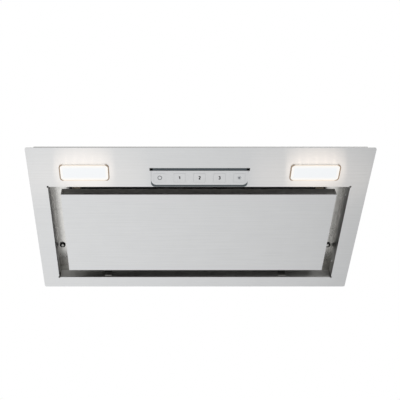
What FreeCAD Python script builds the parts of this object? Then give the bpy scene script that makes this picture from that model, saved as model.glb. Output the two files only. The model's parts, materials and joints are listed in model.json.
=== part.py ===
import FreeCAD, Part
import math
import os
import re

import Sketcher

# Built-in range hood. Millimetres, +Z up, front towards -Y.
# The origin is the centre of the face plate's outline, on the underside of the cabinet board.

SIZES = {
    # face plate
    "plate_width": 520.0,
    "plate_depth": 285.0,
    "sheet_gauge": 1.0,
    "plate_corner": 3.0,
    "lip_height": 3.5,
    "lip_relief": 13.0,
    "bend_relief": 1.8,
    "front_strip": 71.0,
    "rear_strip": 22.5,
    "side_strip": 27.0,
    "flange_height": 18.0,
    # rim seal
    "seal_thickness": 3.0,
    "seal_width": 10.0,
    "seal_inset": 2.0,
    # casing
    "casing_gauge": 1.0,
    "casing_height": 84.0,
    "corner_flange": 12.0,
    "recess_depth": 35.0,
    "deck_flange": 10.0,
    "casing_screw_edge": 9.5,
    # screw holes to the cabinet
    "cabinet_hole_radius": 2.25,
    "cabinet_hole_height": 13.0,
    "cabinet_hole_pitch": 140.0,
    # cabinet spring clips
    "clip_width": 30.0,
    "clip_gauge": 0.8,
    "clip_height": 30.0,
    "clip_reach": 7.0,
    "clip_drop": 8.0,
    "clip_foot": 24.0,
    # suction panel
    "panel_front_gap": 15.0,
    "panel_rear_gap": 16.5,
    "panel_side_gap": 18.5,
    "panel_flange": 15.5,
    "mat_thickness": 2.0,
    "mat_margin": 22.0,
    # panel hinge
    "hinge_margin": 65.0,
    "hinge_inset": 5.5,
    "hinge_height": 14.0,
    "hinge_pin_radius": 2.0,
    "hinge_clearance": 0.05,
    "ear_gauge": 1.5,
    "ear_half": 6.0,
    "strap_width": 12.0,
    "strap_leg_rise": 4.0,
    "lug_gauge": 1.5,
    "lug_gap": 0.4,
    "lug_half": 5.0,
    "notch_half": 5.0,
    # panel catches
    "catch_margin": 22.5,
    "catch_width": 12.0,
    "magnet_depth": 12.0,
    "magnet_height": 12.0,
    "catch_gap": 0.3,
    "strike_gauge": 1.5,
    "strike_leg": 14.0,
    # grease filter
    "filter_side_margin": 70.0,
    "filter_margin": 37.0,
    "filter_clearance": 0.75,
    "filter_thickness": 10.0,
    "filter_bar": 8.0,
    "filter_skin": 2.0,
    "filter_groove": 5.0,
    "mesh_clearance": 0.1,
    "mesh_pitch": 15.0,
    "mesh_hole": 11.5,
    "tab_width": 24.0,
    "tab_reach": 5.0,
    "tab_gauge": 1.2,
    "tab_spacing": 200.0,
    # filter latch
    "latch_half": 12.0,
    "latch_wing": 1.8,
    "latch_length": 10.0,
    "latch_travel": 6.0,
    "latch_wall": 4.0,
    "latch_rear_wall": 1.5,
    "latch_recess": 6.0,
    "latch_ledge": 2.8,
    "latch_play": 0.2,
    "tongue_half": 8.0,
    "tongue_gauge": 1.6,
    "latch_grip": 5.0,
    # deck screws on the ledge
    "deck_screw_inset": 5.4,
    "deck_screw_rear": 43.5,
    "washer_radius": 5.0,
    "washer_gauge": 1.6,
    "screw_head_radius": 3.0,
    "screw_head_height": 2.0,
    "screw_shank_radius": 1.75,
    "screw_shank_length": 8.0,
    "screw_clearance": 0.2,
    "nut_radius": 4.5,
    "nut_height": 4.0,
    # lamps
    "lamp_edge": 85.2,
    "lamp_width": 75.6,
    "lamp_depth": 29.0,
    "lamp_setback": 12.4,
    "lamp_corner": 5.5,
    "lamp_proud": 1.5,
    "bezel_width": 1.6,
    "lens_clearance": 0.15,
    "lens_thickness": 3.0,
    "lens_recess": 0.2,
    "lamp_tub_margin": 2.0,
    "lamp_tub_height": 18.0,
    "lamp_tub_wall": 1.5,
    "lamp_step": 3.0,
    "board_gauge": 1.6,
    "lamp_board_drop": 9.6,
    "board_clearance": 0.2,
    "led_count": 5,
    "led_pitch": 13.0,
    "led_width": 3.5,
    "led_height": 0.8,
    "lamp_strap_width": 12.0,
    "lamp_strap_gauge": 0.8,
    "lamp_strap_foot": 5.0,
    # control block
    "control_setback": 29.9,
    "control_tilt": 15.0,
    "control_slot": 5.0,
    "control_corner": 8.0,
    "control_inner_corner": 4.5,
    "control_wall": 1.6,
    "control_height": 9.0,
    "control_rim": 5.4,
    "control_clearance": 0.3,
    "control_ear_half": 6.0,
    "control_ear_reach": 6.0,
    "control_ear_gauge": 1.5,
    "relief_width": 2.4,
    "control_lip_gap": 0.6,
    "control_lip_gauge": 1.6,
    "key_pitch": 30.2,
    "key_width": 18.0,
    "key_depth": 14.0,
    "key_end_margin": 4.1,
    "key_front_margin": 4.3,
    "key_rear_margin": 4.3,
    "key_corner": 2.0,
    "key_gap": 0.15,
    "key_shoulder": 1.0,
    "shoulder_gauge": 1.2,
    "shoulder_gap": 0.05,
    "stem_radius": 2.5,
    "key_travel": 0.8,
    "switch_gap": 0.2,
    "switch_size": 6.0,
    "switch_height": 3.5,
    "plunger_radius": 1.75,
    "plunger_height": 1.0,
    "cover_margin": 1.0,
    "cover_height": 18.0,
    "cover_wall": 1.6,
    # electronics box
    "ebox_depth": 110.0,
    "ebox_height": 36.0,
    "ebox_side": 3.0,
    "ebox_air": 8.0,
    "ebox_setback": 20.0,
    "ebox_wall": 2.0,
    "ebox_standoff": 5.0,
    "power_margin": 2.0,
    "power_post_inset": 8.0,
    "power_post_half": 2.0,
    "terminal_width": 40.0,
    "terminal_depth": 14.0,
    "terminal_height": 12.0,
    "terminal_poles": 3,
    "terminal_hole": 2.5,
    "terminal_floor": 3.5,
    # cable gland
    "gland_inset": 24.0,
    "gland_radius": 8.0,
    "gland_flange": 12.0,
    "gland_height": 9.0,
    "gland_nut": 6.0,
    "gland_bore": 3.6,
    "gland_clearance": 0.2,
    # blower tower
    "tower_flange": 8.0,
    "inlet_air": 79.0,
    "tower_air": 4.0,
    "blower_clearance": 10.0,
    # scroll
    "scroll_side_gap": 6.0,
    "scroll_gauge": 1.0,
    "scroll_gap": 8.0,
    "scroll_growth": 5.0,
    "scroll_axis_drop": 58.0,
    "tongue_setback": 48.0,
    "inlet_lap": 4.0,
    # impeller
    "wheel_radius": 50.0,
    "wheel_half": 54.0,
    "wheel_rim": 11.0,
    "wheel_ring": 3.0,
    "wheel_disc": 2.0,
    "blade_count": 36,
    "blade_gauge": 1.0,
    "blade_tilt": 25.0,
    "hub_radius": 12.0,
    "hub_length": 12.0,
    "shaft_radius": 4.0,
    "shaft_length": 64.0,
    "press_clearance": 0.02,
    "running_clearance": 0.05,
    # motor
    "motor_air": 9.0,
    "motor_gap": 5.0,
    "motor_length": 46.0,
    "motor_boss_radius": 26.0,
    "bracket_gauge": 2.0,
    "bracket_disc": 30.0,
    "bracket_arm": 14.0,
    "grommet_height": 3.0,
    "grommet_radius": 5.0,
    "grommet_margin": 8.0,
    "grommet_count": 3,
    # capacitor
    "capacitor_radius": 15.0,
    "capacitor_height": 58.0,
    "capacitor_lift": 20.0,
    "capacitor_clip": 14.0,
    "capacitor_play": 0.15,
    "capacitor_clip_wall": 2.0,
    # exhaust collar and flaps
    "collar_radius": 59.5,
    "collar_wall": 1.5,
    "collar_height": 28.0,
    "collar_land": 5.5,
    "collar_edge": 0.5,
    "flange_gauge": 1.5,
    "collar_hole_inset": 8.0,
    "stop_width": 3.0,
    "stop_lift": 4.0,
    "stop_gauge": 1.5,
    "flap_gauge": 1.2,
    "flap_gap": 0.8,
    "flap_lift": 0.05,
    "flap_pin_radius": 1.5,
    "flap_pin_end": 3.0,
    "flap_barrel_radius": 3.0,
    "flap_pin_offset": 3.5,
    "flap_barrel_half": 45.0,
    "pin_block": 7.0,
    "pin_block_half": 9.0,
    "pin_block_height": 8.0,
    "pin_block_gap": 1.5,
}

KEYS = ("key_power", "key_speed_1", "key_speed_2", "key_speed_3", "key_light")
SIDES = {"left": -1, "right": 1}

doc = FreeCAD.newDocument("RangeHood")
sheet = doc.addObject("Spreadsheet::Sheet", "Sizes")
for row, (alias, number) in enumerate(SIZES.items(), start=1):
    sheet.set(f"A{row}", alias)
    sheet.set(f"B{row}", str(number))
    sheet.setAlias(f"B{row}", alias)
layout = doc.addObject("App::FeaturePython", "Layout")
doc.recompute()

nodes = []


def link(formula):
    """Put the owner before each named size in a formula."""

    def owner(word):
        name = word.group(0)
        if name in SIZES:
            return "Sizes." + name
        return "Layout." + name if name in layout.PropertiesList else name

    return re.sub(r"[a-z_][a-z_0-9]*", owner, str(formula))


def derive(**formulas):
    """Name positions that follow from the driving sizes."""
    for name, formula in formulas.items():
        layout.addProperty("App::PropertyFloat", name, "Layout")
        layout.setExpression(name, link(formula))
    doc.recompute()


def mm(name):
    """Read a driving size or a derived position as a number."""
    return float(sheet.get(name) if name in SIZES else getattr(layout, name))


def bind(item, **formulas):
    """Tie properties of an object to formulas."""
    for prop, formula in formulas.items():
        item.setExpression(prop, link(formula))
    return item


def put(item, x, y, z):
    """Tie an object's place to formulas."""
    for axis, formula in zip("xyz", (x, y, z)):
        item.setExpression("Placement.Base." + axis, link(formula))
    return item


def box(name, x, y, z):
    """Make a block from a low and a high formula on each axis."""
    item = doc.addObject("Part::Box", name)
    spans = [f"({high}) - ({low})" for low, high in (x, y, z)]
    bind(item, Length=spans[0], Width=spans[1], Height=spans[2])
    return put(item, x[0], y[0], z[0])


def about(middle, half):
    """Give the low and high formulas at a half width about a middle."""
    return f"({middle}) - ({half})", f"({middle}) + ({half})"


def rod(name, axis, radius, x, y, z):
    """Make a cylinder along one axis, where that axis has a low and a high formula."""
    turns = {
        "x": FreeCAD.Rotation(FreeCAD.Vector(0, 1, 0), 90),
        "y": FreeCAD.Rotation(FreeCAD.Vector(1, 0, 0), -90),
        "z": FreeCAD.Rotation(),
    }
    place = {"x": x, "y": y, "z": z}
    low, high = place[axis]
    place[axis] = low
    item = doc.addObject("Part::Cylinder", name)
    item.Placement = FreeCAD.Placement(FreeCAD.Vector(), turns[axis])
    bind(item, Radius=radius, Height=f"({high}) - ({low})")
    return put(item, place["x"], place["y"], place["z"])


def fuse(name, *items):
    item = doc.addObject("Part::MultiFuse", name)
    item.Shapes = list(items)
    return item


def cut(name, base, *tools):
    item = doc.addObject("Part::Cut", name)
    item.Base = base
    item.Tool = tools[0] if len(tools) == 1 else fuse(name + "_tools", *tools)
    return item


def common(name, base, tool):
    item = doc.addObject("Part::Common", name)
    item.Base = base
    item.Tool = tool
    return item


def group(name, *items):
    """Keep like pieces in one node as separate solids."""
    item = doc.addObject("Part::Compound", name)
    item.Links = list(items)
    return item


def rounded(name, base, radius, rear_only=False):
    """Round the upright edges of a block."""
    doc.recompute()
    middle = base.Shape.BoundBox.Center.y
    picked = []
    for index, edge in enumerate(base.Shape.Edges, start=1):
        upright = abs(edge.tangentAt(edge.FirstParameter).z) > 0.9
        if upright and (not rear_only or edge.CenterOfMass.y > middle):
            picked.append((index, mm(radius), mm(radius)))
    item = doc.addObject("Part::Fillet", name)
    item.Base = base
    item.Edges = picked
    return item


def outline_sketch(body, role, points):
    """Draw a closed outline whose corners are tied to formulas."""
    sketch = body.newObject("Sketcher::SketchObject", body.Name + "_outline")
    plane = next(f for f in body.Origin.OriginFeatures if f.Role == role)
    sketch.AttachmentSupport = [(plane, "")]
    sketch.MapMode = "FlatFace"
    reader = doc.addObject("App::FeaturePython", body.Name + "_reader")
    corners = []
    for index, pair in enumerate(points):
        for axis, formula in zip("uv", pair):
            name = f"{axis}{index}"
            reader.addProperty("App::PropertyFloat", name, "Corners")
            bind(reader, **{name: formula})
    doc.recompute()
    for index in range(len(points)):
        u, v = (getattr(reader, f"{axis}{index}") for axis in "uv")
        corners.append(FreeCAD.Vector(u, v, 0))
    doc.removeObject(reader.Name)
    last = len(points) - 1
    for index, corner in enumerate(corners):
        sketch.addGeometry(Part.LineSegment(corner, corners[index - last]))
    for index in range(len(points)):
        sketch.addConstraint(Sketcher.Constraint("Coincident", index, 2, (index + 1) % len(points), 1))
    for index, pair in enumerate(points):
        for kind, axis, formula, number in zip(("DistanceX", "DistanceY"), (-2, -1), pair, corners[index]):
            if formula == "0":
                sketch.addConstraint(Sketcher.Constraint("PointOnObject", index, 1, axis))
                continue
            made = sketch.addConstraint(Sketcher.Constraint(kind, -1, 1, index, 1, number))
            sketch.setExpression(f"Constraints[{made}]", link(formula))
    return sketch


def turned(name, points, turn=None):
    """Turn a (radius, height) outline about the piece's own upright axis."""
    body = doc.addObject("PartDesign::Body", name)
    sketch = outline_sketch(body, "XZ_Plane", points)
    turning = body.newObject("PartDesign::Revolution", name + "_turning")
    turning.Profile = sketch
    turning.ReferenceAxis = (sketch, ["V_Axis"])
    turning.Angle = 360.0
    if turn:
        body.Placement = FreeCAD.Placement(FreeCAD.Vector(), turn)
    return body


def folded(name, points, width):
    """Fold a strip whose section is an (x, z) outline, centred on its own middle."""
    body = doc.addObject("PartDesign::Body", name)
    sketch = outline_sketch(body, "XZ_Plane", points)
    pad = body.newObject("PartDesign::Pad", name + "_pad")
    pad.Profile = sketch
    pad.SideType = "Symmetric"
    bind(pad, Length=width)
    return body


def node(label, item):
    """Keep an object as a named piece of the hood."""
    item.Label = label
    nodes.append(item)
    return item


def screw(name, axis, outward, x, y, z):
    """Make a pan-head screw whose head bears on a face at the axis coordinate given."""
    place = {"x": x, "y": y, "z": z}
    face = place[axis]
    head, shank = dict(place), dict(place)
    if outward > 0:
        head[axis] = (face, f"({face}) + screw_head_height")
        shank[axis] = (f"({face}) - screw_shank_length", face)
    else:
        head[axis] = (f"({face}) - screw_head_height", face)
        shank[axis] = (face, f"({face}) + screw_shank_length")
    return fuse(
        name,
        rod(name + "_head", axis, "screw_head_radius", **head),
        rod(name + "_shank", axis, "screw_shank_radius", **shank),
    )


derive(
    plate_half="plate_width / 2",
    plate_front="-plate_depth / 2",
    plate_rear="plate_depth / 2",
    plate_top="-seal_thickness",
)
derive(
    plate_bottom="plate_top - sheet_gauge",
    opening_half="plate_half - side_strip",
    opening_front="plate_front + front_strip",
    opening_rear="plate_rear - rear_strip",
)
derive(
    flange_top="plate_bottom + flange_height",
    lip_top="plate_bottom + lip_height",
    casing_side="opening_half + sheet_gauge",
    casing_front="opening_front - sheet_gauge",
    casing_rear="opening_rear + sheet_gauge",
    casing_top="plate_bottom + casing_height",
    deck_bottom="plate_bottom + recess_depth",
    opening_middle="(opening_front + opening_rear) / 2",
)
derive(
    deck_top="deck_bottom + casing_gauge",
    casing_roof="casing_top + casing_gauge",
    panel_half="opening_half - panel_side_gap",
    panel_front="opening_front + panel_front_gap",
    panel_rear="opening_rear - panel_rear_gap",
    panel_top="plate_bottom + panel_flange",
    panel_floor="plate_bottom + sheet_gauge",
    cabinet_hole_z="plate_bottom + cabinet_hole_height",
)
derive(
    hinge_x="panel_half - hinge_margin",
    hinge_y="panel_rear - hinge_inset",
    hinge_z="plate_bottom + hinge_height",
    catch_x="panel_half - catch_margin",
    filter_half="opening_half - filter_side_margin",
    filter_front="opening_front + filter_margin",
    filter_rear="opening_rear - filter_margin",
    lamp_x="plate_half - lamp_edge",
    lamp_y="opening_front - lamp_setback - lamp_depth / 2",
    lamp_inner_corner="lamp_corner - bezel_width",
    control_width=f"{len(KEYS) - 1} * key_pitch + key_width + 2 * key_end_margin",
    control_depth="key_front_margin + key_depth + key_rear_margin",
    scroll_half="wheel_half + scroll_side_gap",
    scroll_radius="wheel_radius + scroll_gap",
    blade_root="wheel_radius - wheel_rim",
    tower_rear="casing_rear + casing_gauge - tower_flange",
    latch_y="filter_front + latch_wall",
    deck_screw_x="opening_half - deck_screw_inset",
    deck_screw_y="opening_rear - deck_screw_rear",
    ebox_outer="casing_side + casing_gauge - ebox_side",
    ebox_front="casing_front + ebox_setback",
    ebox_top="casing_roof + ebox_height",
    collar_flange="2 * (collar_radius + collar_land)",
)
derive(
    lens_corner="lamp_inner_corner - lens_clearance",
    latch_room="latch_length + latch_travel + latch_play",
    control_front="opening_front - control_setback",
    control_top="control_height + board_gauge",
    key_y="key_front_margin + key_depth / 2",
    scroll_reach="scroll_radius + 1.5 * scroll_growth + scroll_gauge",
    scroll_drop="scroll_radius + scroll_growth + scroll_gauge",
    tower_half="scroll_half + scroll_gauge + inlet_air",
    inlet_radius="blade_root + inlet_lap",
    motor_radius="blade_root - motor_air",
    ebox_rear="ebox_front + ebox_depth",
)
derive(
    filter_front_bar="latch_wall + latch_room + latch_rear_wall + filter_groove",
    control_hole_front="control_front - control_slot",
    control_hole_rear="control_front + control_depth / cos(control_tilt * 1 deg)"
    " + sheet_gauge * tan(control_tilt * 1 deg) + control_clearance",
    control_rear="control_front + control_depth * cos(control_tilt * 1 deg)"
    " + control_top * sin(control_tilt * 1 deg)",
    control_ear_y="control_front + control_depth / 2",
    tower_y="tower_rear - tower_air - scroll_reach",
    tower_front="tower_rear - max(2 * (tower_air + scroll_reach); collar_flange + 2 * collar_edge)",
    tower_top="deck_bottom + filter_thickness + blower_clearance + scroll_drop + scroll_axis_drop",
    grommet_circle="inlet_radius + grommet_margin",
    ebox_inner="tower_half + tower_flange + ebox_air",
    ebox_middle="(ebox_front + ebox_rear) / 2",
    gland_y="ebox_rear - gland_inset",
)
derive(
    collar_base="tower_top + casing_gauge",
    ebox_width="ebox_outer - ebox_inner",
    ebox_x="(ebox_outer + ebox_inner) / 2",
    axis_y="tower_y - 1.5 * scroll_growth",
    axis_z="tower_top - scroll_axis_drop",
)
derive(
    outlet_y="axis_y + (scroll_radius + 3 * scroll_growth - tongue_setback) / 2",
    collar_floor="collar_base + flange_gauge",
    collar_bore="collar_radius - collar_wall",
)
derive(
    collar_y="min(outlet_y; tower_rear - collar_edge - collar_flange / 2)",
    stop_top="collar_floor + stop_lift",
    collar_top="collar_floor + collar_height",
    flap_bottom="collar_floor + stop_lift + flap_lift",
)
derive(flap_pin_z="flap_bottom + flap_gauge / 2")

FULL_WIDTH = ("-casing_side", "casing_side")
CASING_DEPTH = ("casing_front - casing_gauge", "casing_rear + casing_gauge")


# Face plate
def cabinet_holes(name):
    """Make the cutters of the cabinet screw holes, which run through both sides."""
    reach = "casing_side + 2 * casing_gauge"
    return [
        rod(f"{name}_{end}", "x", "cabinet_hole_radius", about("0", reach),
            f"opening_middle + {way} * cabinet_hole_pitch / 2", "cabinet_hole_z")
        for end, way in (("front", -1), ("rear", 1))
    ]


def build_face_plate():
    skin = ("plate_bottom", "plate_top")
    blank = box("plate_blank", about("0", "plate_half"), ("plate_front", "plate_rear"), skin)
    blank = rounded("plate_rounded", blank, "plate_corner")
    rise = ("plate_bottom", "lip_top")
    along = about("0", "plate_half - lip_relief")
    across = ("plate_front + lip_relief", "plate_rear - lip_relief")
    lips = [
        box("lip_front", along, ("plate_front", "plate_front + sheet_gauge"), rise),
        box("lip_rear", along, ("plate_rear - sheet_gauge", "plate_rear"), rise),
        box("lip_left", ("-plate_half", "-plate_half + sheet_gauge"), across, rise),
        box("lip_right", ("plate_half - sheet_gauge", "plate_half"), across, rise),
    ]
    flange = box(
        "plate_flange", FULL_WIDTH, ("casing_front", "casing_rear"),
        ("plate_bottom", "flange_top"),
    )
    deep = ("plate_bottom - sheet_gauge", "flange_top + sheet_gauge")
    opening = box("plate_opening", about("0", "opening_half"), ("opening_front", "opening_rear"), deep)
    through = ("plate_bottom - sheet_gauge", "plate_top + sheet_gauge")
    cutters = [opening, *cabinet_holes("plate_screw_hole")]
    for side, way in SIDES.items():
        hole = box(f"plate_lamp_cut_{side}", about(f"{way} * lamp_x", "lamp_width / 2 - bezel_width"),
                   about("lamp_y", "lamp_depth / 2 - bezel_width"), through)
        cutters.append(rounded(f"plate_lamp_hole_{side}", hole, "lamp_inner_corner"))
        for end in ("front", "rear"):
            cutters.append(rod(f"bend_relief_{side}_{end}", "z", "bend_relief",
                               f"{way} * opening_half", f"opening_{end}", deep))
    cutters.append(box("plate_control_slot", about("0", "control_width / 2 + relief_width"),
                       ("control_hole_front", "control_front"), through))
    cutters.append(box("plate_control_hole", about("0", "control_width / 2 + control_clearance"),
                       ("control_hole_front", "control_hole_rear"), through))
    node("face_plate", cut("face_plate", fuse("plate_sheet", blank, *lips, flange), *cutters))
    level = ("-seal_thickness", "0")
    outer = box("seal_outer", about("0", "plate_half - sheet_gauge - seal_inset"),
                about("0", "plate_depth / 2 - sheet_gauge - seal_inset"), level)
    inner = box("seal_inner", about("0", "plate_half - sheet_gauge - seal_inset - seal_width"),
                about("0", "plate_depth / 2 - sheet_gauge - seal_inset - seal_width"), level)
    node("rim_seal", cut("rim_seal", outer, inner))


# Casing
def casing_screws(name):
    """Give name, wall and place of each screw that joins the wrapper to the side panels."""
    low = "deck_top + deck_flange + casing_screw_edge"
    high = "casing_top - casing_screw_edge"
    for side, way in SIDES.items():
        for wall, direction, face in (("front", -1, CASING_DEPTH[0]), ("rear", 1, CASING_DEPTH[1])):
            for level, height in (("low", low), ("high", high)):
                place = {
                    "x": f"{way} * (casing_side - corner_flange / 2)",
                    "y": face,
                    "z": height,
                }
                yield f"{name}_{side}_{wall}_{level}", direction, place


def screw_holes(name):
    """Make the cutters for the screws between wrapper and side panels."""
    holes = []
    for label, direction, place in casing_screws(name):
        face = place["y"]
        inward = f"({face}) - {direction} * 4 * casing_gauge"
        outward = f"({face}) + {direction} * casing_gauge"
        ends = (inward, outward) if direction > 0 else (outward, inward)
        holes.append(rod(label, "y", "screw_shank_radius + screw_clearance", place["x"], ends, place["z"]))
    return holes


def build_casing():
    rise = ("plate_top", "casing_roof")
    roof = box("wrapper_roof", FULL_WIDTH, CASING_DEPTH, ("casing_top", "casing_roof"))
    front = box("wrapper_front", FULL_WIDTH, ("casing_front - casing_gauge", "casing_front"), rise)
    rear = box("wrapper_rear", FULL_WIDTH, ("casing_rear", "casing_rear + casing_gauge"), rise)
    beyond = ("casing_top - casing_gauge", "casing_roof + casing_gauge")
    tower_hole = box("wrapper_tower_hole", about("0", "tower_half - casing_gauge"),
                     ("tower_front + casing_gauge", "tower_rear - casing_gauge"), beyond)
    node("casing_wrapper", cut("casing_wrapper", fuse("wrapper_sheet", roof, front, rear),
                               tower_hole, *screw_holes("wrapper_screw_hole")))
    flange_rise = ("deck_top + deck_flange + casing_gauge", "casing_top")
    for side, way in SIDES.items():
        skin_x = ("casing_side", "casing_side + casing_gauge")
        flange_x = ("casing_side - corner_flange", "casing_side")
        if way < 0:
            skin_x = ("-casing_side - casing_gauge", "-casing_side")
            flange_x = ("-casing_side", "-casing_side + corner_flange")
        skin = box(f"side_skin_{side}", skin_x, CASING_DEPTH, rise)
        fold_front = box(
            f"side_fold_front_{side}", flange_x, ("casing_front", "casing_front + casing_gauge"),
            flange_rise,
        )
        fold_rear = box(
            f"side_fold_rear_{side}", flange_x, ("casing_rear - casing_gauge", "casing_rear"),
            flange_rise,
        )
        label = f"casing_side_{side}"
        node(label, cut(label, fuse(f"side_sheet_{side}", skin, fold_front, fold_rear),
                        *cabinet_holes(f"{label}_hole"), *screw_holes(f"{label}_screw_hole")))
    screws = [
        screw(label, "y", direction, **place)
        for label, direction, place in casing_screws("casing_screw")
    ]
    node("casing_screws", group("casing_screws", *screws))


def build_cabinet_clips():
    """Spring strips on the side panels that snap over the cabinet board."""
    section = [
        ("0", "clip_height"),
        ("clip_gauge", "clip_height"),
        ("clip_gauge", "clip_gauge"),
        ("clip_reach + clip_gauge", "clip_gauge - clip_drop"),
        ("clip_reach", "-clip_drop"),
        ("0", "0"),
    ]
    clips = []
    for side, way in SIDES.items():
        turn = FreeCAD.Rotation(FreeCAD.Vector(0, 0, 1), 0 if way > 0 else 180)
        clip = folded(f"clip_{side}", section, "clip_width")
        clip.Placement = FreeCAD.Placement(FreeCAD.Vector(), turn)
        clips.append(
            put(
                clip, f"{way} * (casing_side + casing_gauge)", "opening_middle",
                "plate_top + clip_foot + clip_drop",
            )
        )
    node("cabinet_clips", group("cabinet_clips", *clips))


def build_deck():
    level = ("deck_bottom", "deck_top")
    depth = ("casing_front", "casing_rear")
    tray = box("deck_tray", FULL_WIDTH, depth, ("deck_bottom", "deck_top + deck_flange"))
    hollow = box(
        "deck_hollow", about("0", "casing_side - casing_gauge"),
        ("casing_front + casing_gauge", "casing_rear - casing_gauge"),
        ("deck_top", "deck_top + 2 * deck_flange"),
    )
    filter_hole = box("deck_filter_hole", about("0", "filter_half + filter_clearance"),
                      ("filter_front - filter_clearance", "filter_rear + filter_clearance"),
                      ("deck_bottom - casing_gauge", "deck_top + casing_gauge"))
    nuts, holes, screws, washers = [], [], [], []
    for side, way in SIDES.items():
        x = f"{way} * deck_screw_x"
        nuts.append(
            rod(
                f"deck_nut_{side}", "z", "nut_radius", x, "deck_screw_y",
                ("deck_top", "deck_top + nut_height"),
            )
        )
        holes.append(
            rod(
                f"deck_screw_hole_{side}", "z", "screw_shank_radius + screw_clearance", x,
                "deck_screw_y", ("deck_bottom - casing_gauge", "deck_top + 2 * nut_height"),
            )
        )
        screws.append(screw(f"deck_screw_{side}", "z", -1, x, "deck_screw_y", "deck_bottom - washer_gauge"))
        ring = ("deck_bottom - washer_gauge", "deck_bottom")
        washers.append(
            cut(
                f"deck_washer_{side}",
                rod(f"washer_disc_{side}", "z", "washer_radius", x, "deck_screw_y", ring),
                rod(
                    f"washer_hole_{side}", "z", "screw_shank_radius + screw_clearance", x,
                    "deck_screw_y", ring,
                ),
            )
        )
    sheet_with_hole = cut("deck_sheet", tray, hollow, filter_hole)
    node("filter_deck", cut("filter_deck", fuse("deck_with_nuts", sheet_with_hole, *nuts), *holes))
    node("deck_screws", group("deck_screws", *screws))
    node("deck_washers", group("deck_washers", *washers))


# Suction panel, hinge and catches
def build_panel():
    tray = box(
        "panel_tray", about("0", "panel_half"), ("panel_front", "panel_rear"),
        ("plate_bottom", "panel_top"),
    )
    hollow = box(
        "panel_hollow", about("0", "panel_half - sheet_gauge"),
        ("panel_front + sheet_gauge", "panel_rear - sheet_gauge"),
        ("panel_floor", "panel_top + sheet_gauge"),
    )
    notches = [
        box(f"panel_notch_{side}", about(f"{way} * hinge_x", "notch_half"),
            ("panel_rear - 2 * sheet_gauge", "panel_rear + sheet_gauge"),
            ("panel_floor + sheet_gauge", "panel_top + sheet_gauge"))
        for side, way in SIDES.items()
    ]
    node("suction_panel", cut("suction_panel", tray, hollow, *notches))
    node(
        "panel_mat",
        box(
            "panel_mat", about("0", "panel_half - sheet_gauge - mat_margin"),
            ("panel_front + sheet_gauge + mat_margin", "panel_rear - sheet_gauge - mat_margin"),
            ("panel_floor", "panel_floor + mat_thickness"),
        ),
    )
    straps, pins, lugs = [], [], []
    for side, way in SIDES.items():
        x = f"{way} * hinge_x"
        ear_x = about(x, "ear_gauge / 2")
        ear = fuse(
            f"hinge_ear_{side}",
            box(
                f"ear_stem_{side}", ear_x, about("hinge_y", "ear_half"),
                ("hinge_z", "deck_bottom - ear_gauge"),
            ),
            rod(f"ear_tip_{side}", "x", "ear_half", ear_x, "hinge_y", "hinge_z"),
        )
        wide = about(x, "strap_width / 2")
        top = box(
            f"strap_top_{side}", wide, ("hinge_y - ear_half", "opening_rear"),
            ("deck_bottom - ear_gauge", "deck_bottom"),
        )
        leg = box(f"strap_leg_{side}", wide, ("opening_rear - ear_gauge", "opening_rear"),
                  ("plate_bottom + strap_leg_rise", "deck_bottom"))
        bore = rod(
            f"strap_bore_{side}", "x", "hinge_pin_radius + hinge_clearance",
            about(x, "strap_width"), "hinge_y", "hinge_z",
        )
        straps.append(cut(f"hinge_strap_{side}", fuse(f"strap_blank_{side}", ear, top, leg), bore))
        span = "ear_gauge / 2 + lug_gap + lug_gauge"
        pins.append(
            rod(
                f"hinge_pin_{side}", "x", "hinge_pin_radius", about(x, span + " + lug_gap"),
                "hinge_y", "hinge_z",
            )
        )
        lug_bore = rod(f"lug_bore_{side}", "x", "hinge_pin_radius + hinge_clearance",
                       about(x, "strap_width"), "hinge_y", "hinge_z")
        foot = box(
            f"lug_foot_{side}", about(x, span),
            about("hinge_y - sheet_gauge", "lug_half - sheet_gauge"),
            ("panel_floor", "panel_floor + lug_gauge"),
        )
        cheeks = []
        for hand, sign in SIDES.items():
            middle = f"{x} + {sign} * (ear_gauge / 2 + lug_gap + lug_gauge / 2)"
            cheek_x = about(middle, "lug_gauge / 2")
            cheeks.append(
                box(
                    f"lug_cheek_{side}_{hand}", cheek_x,
                    about("hinge_y - sheet_gauge", "lug_half - sheet_gauge"),
                    ("panel_floor", "hinge_z"),
                )
            )
            cheeks.append(
                rod(
                    f"lug_tip_{side}_{hand}", "x", "lug_half - sheet_gauge", cheek_x, "hinge_y",
                    "hinge_z",
                )
            )
        lugs.append(cut(f"hinge_lug_{side}", fuse(f"lug_blank_{side}", foot, *cheeks), lug_bore))
    node("hinge_straps", group("hinge_straps", *straps))
    node("hinge_pins", group("hinge_pins", *pins))
    node("hinge_lugs", group("hinge_lugs", *lugs))


def build_catches():
    magnets, strikes = [], []
    for side, way in SIDES.items():
        wide = about(f"{way} * catch_x", "catch_width / 2")
        front = "panel_front + sheet_gauge"
        depth = (f"{front} + strike_leg - magnet_depth", f"{front} + strike_leg")
        under = "deck_bottom - magnet_height"
        magnets.append(box(f"magnet_{side}", wide, depth, (under, "deck_bottom")))
        strike_top = f"{under} - catch_gap"
        leg = box(
            f"strike_leg_{side}", wide, (front, f"{front} + strike_gauge"),
            ("panel_floor + sheet_gauge", strike_top),
        )
        shelf = box(
            f"strike_shelf_{side}", wide, (front, f"{front} + strike_leg"),
            (f"{strike_top} - strike_gauge", strike_top),
        )
        strikes.append(fuse(f"strike_{side}", leg, shelf))
    node("catch_magnets", group("catch_magnets", *magnets))
    node("strike_plates", group("strike_plates", *strikes))


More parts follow.
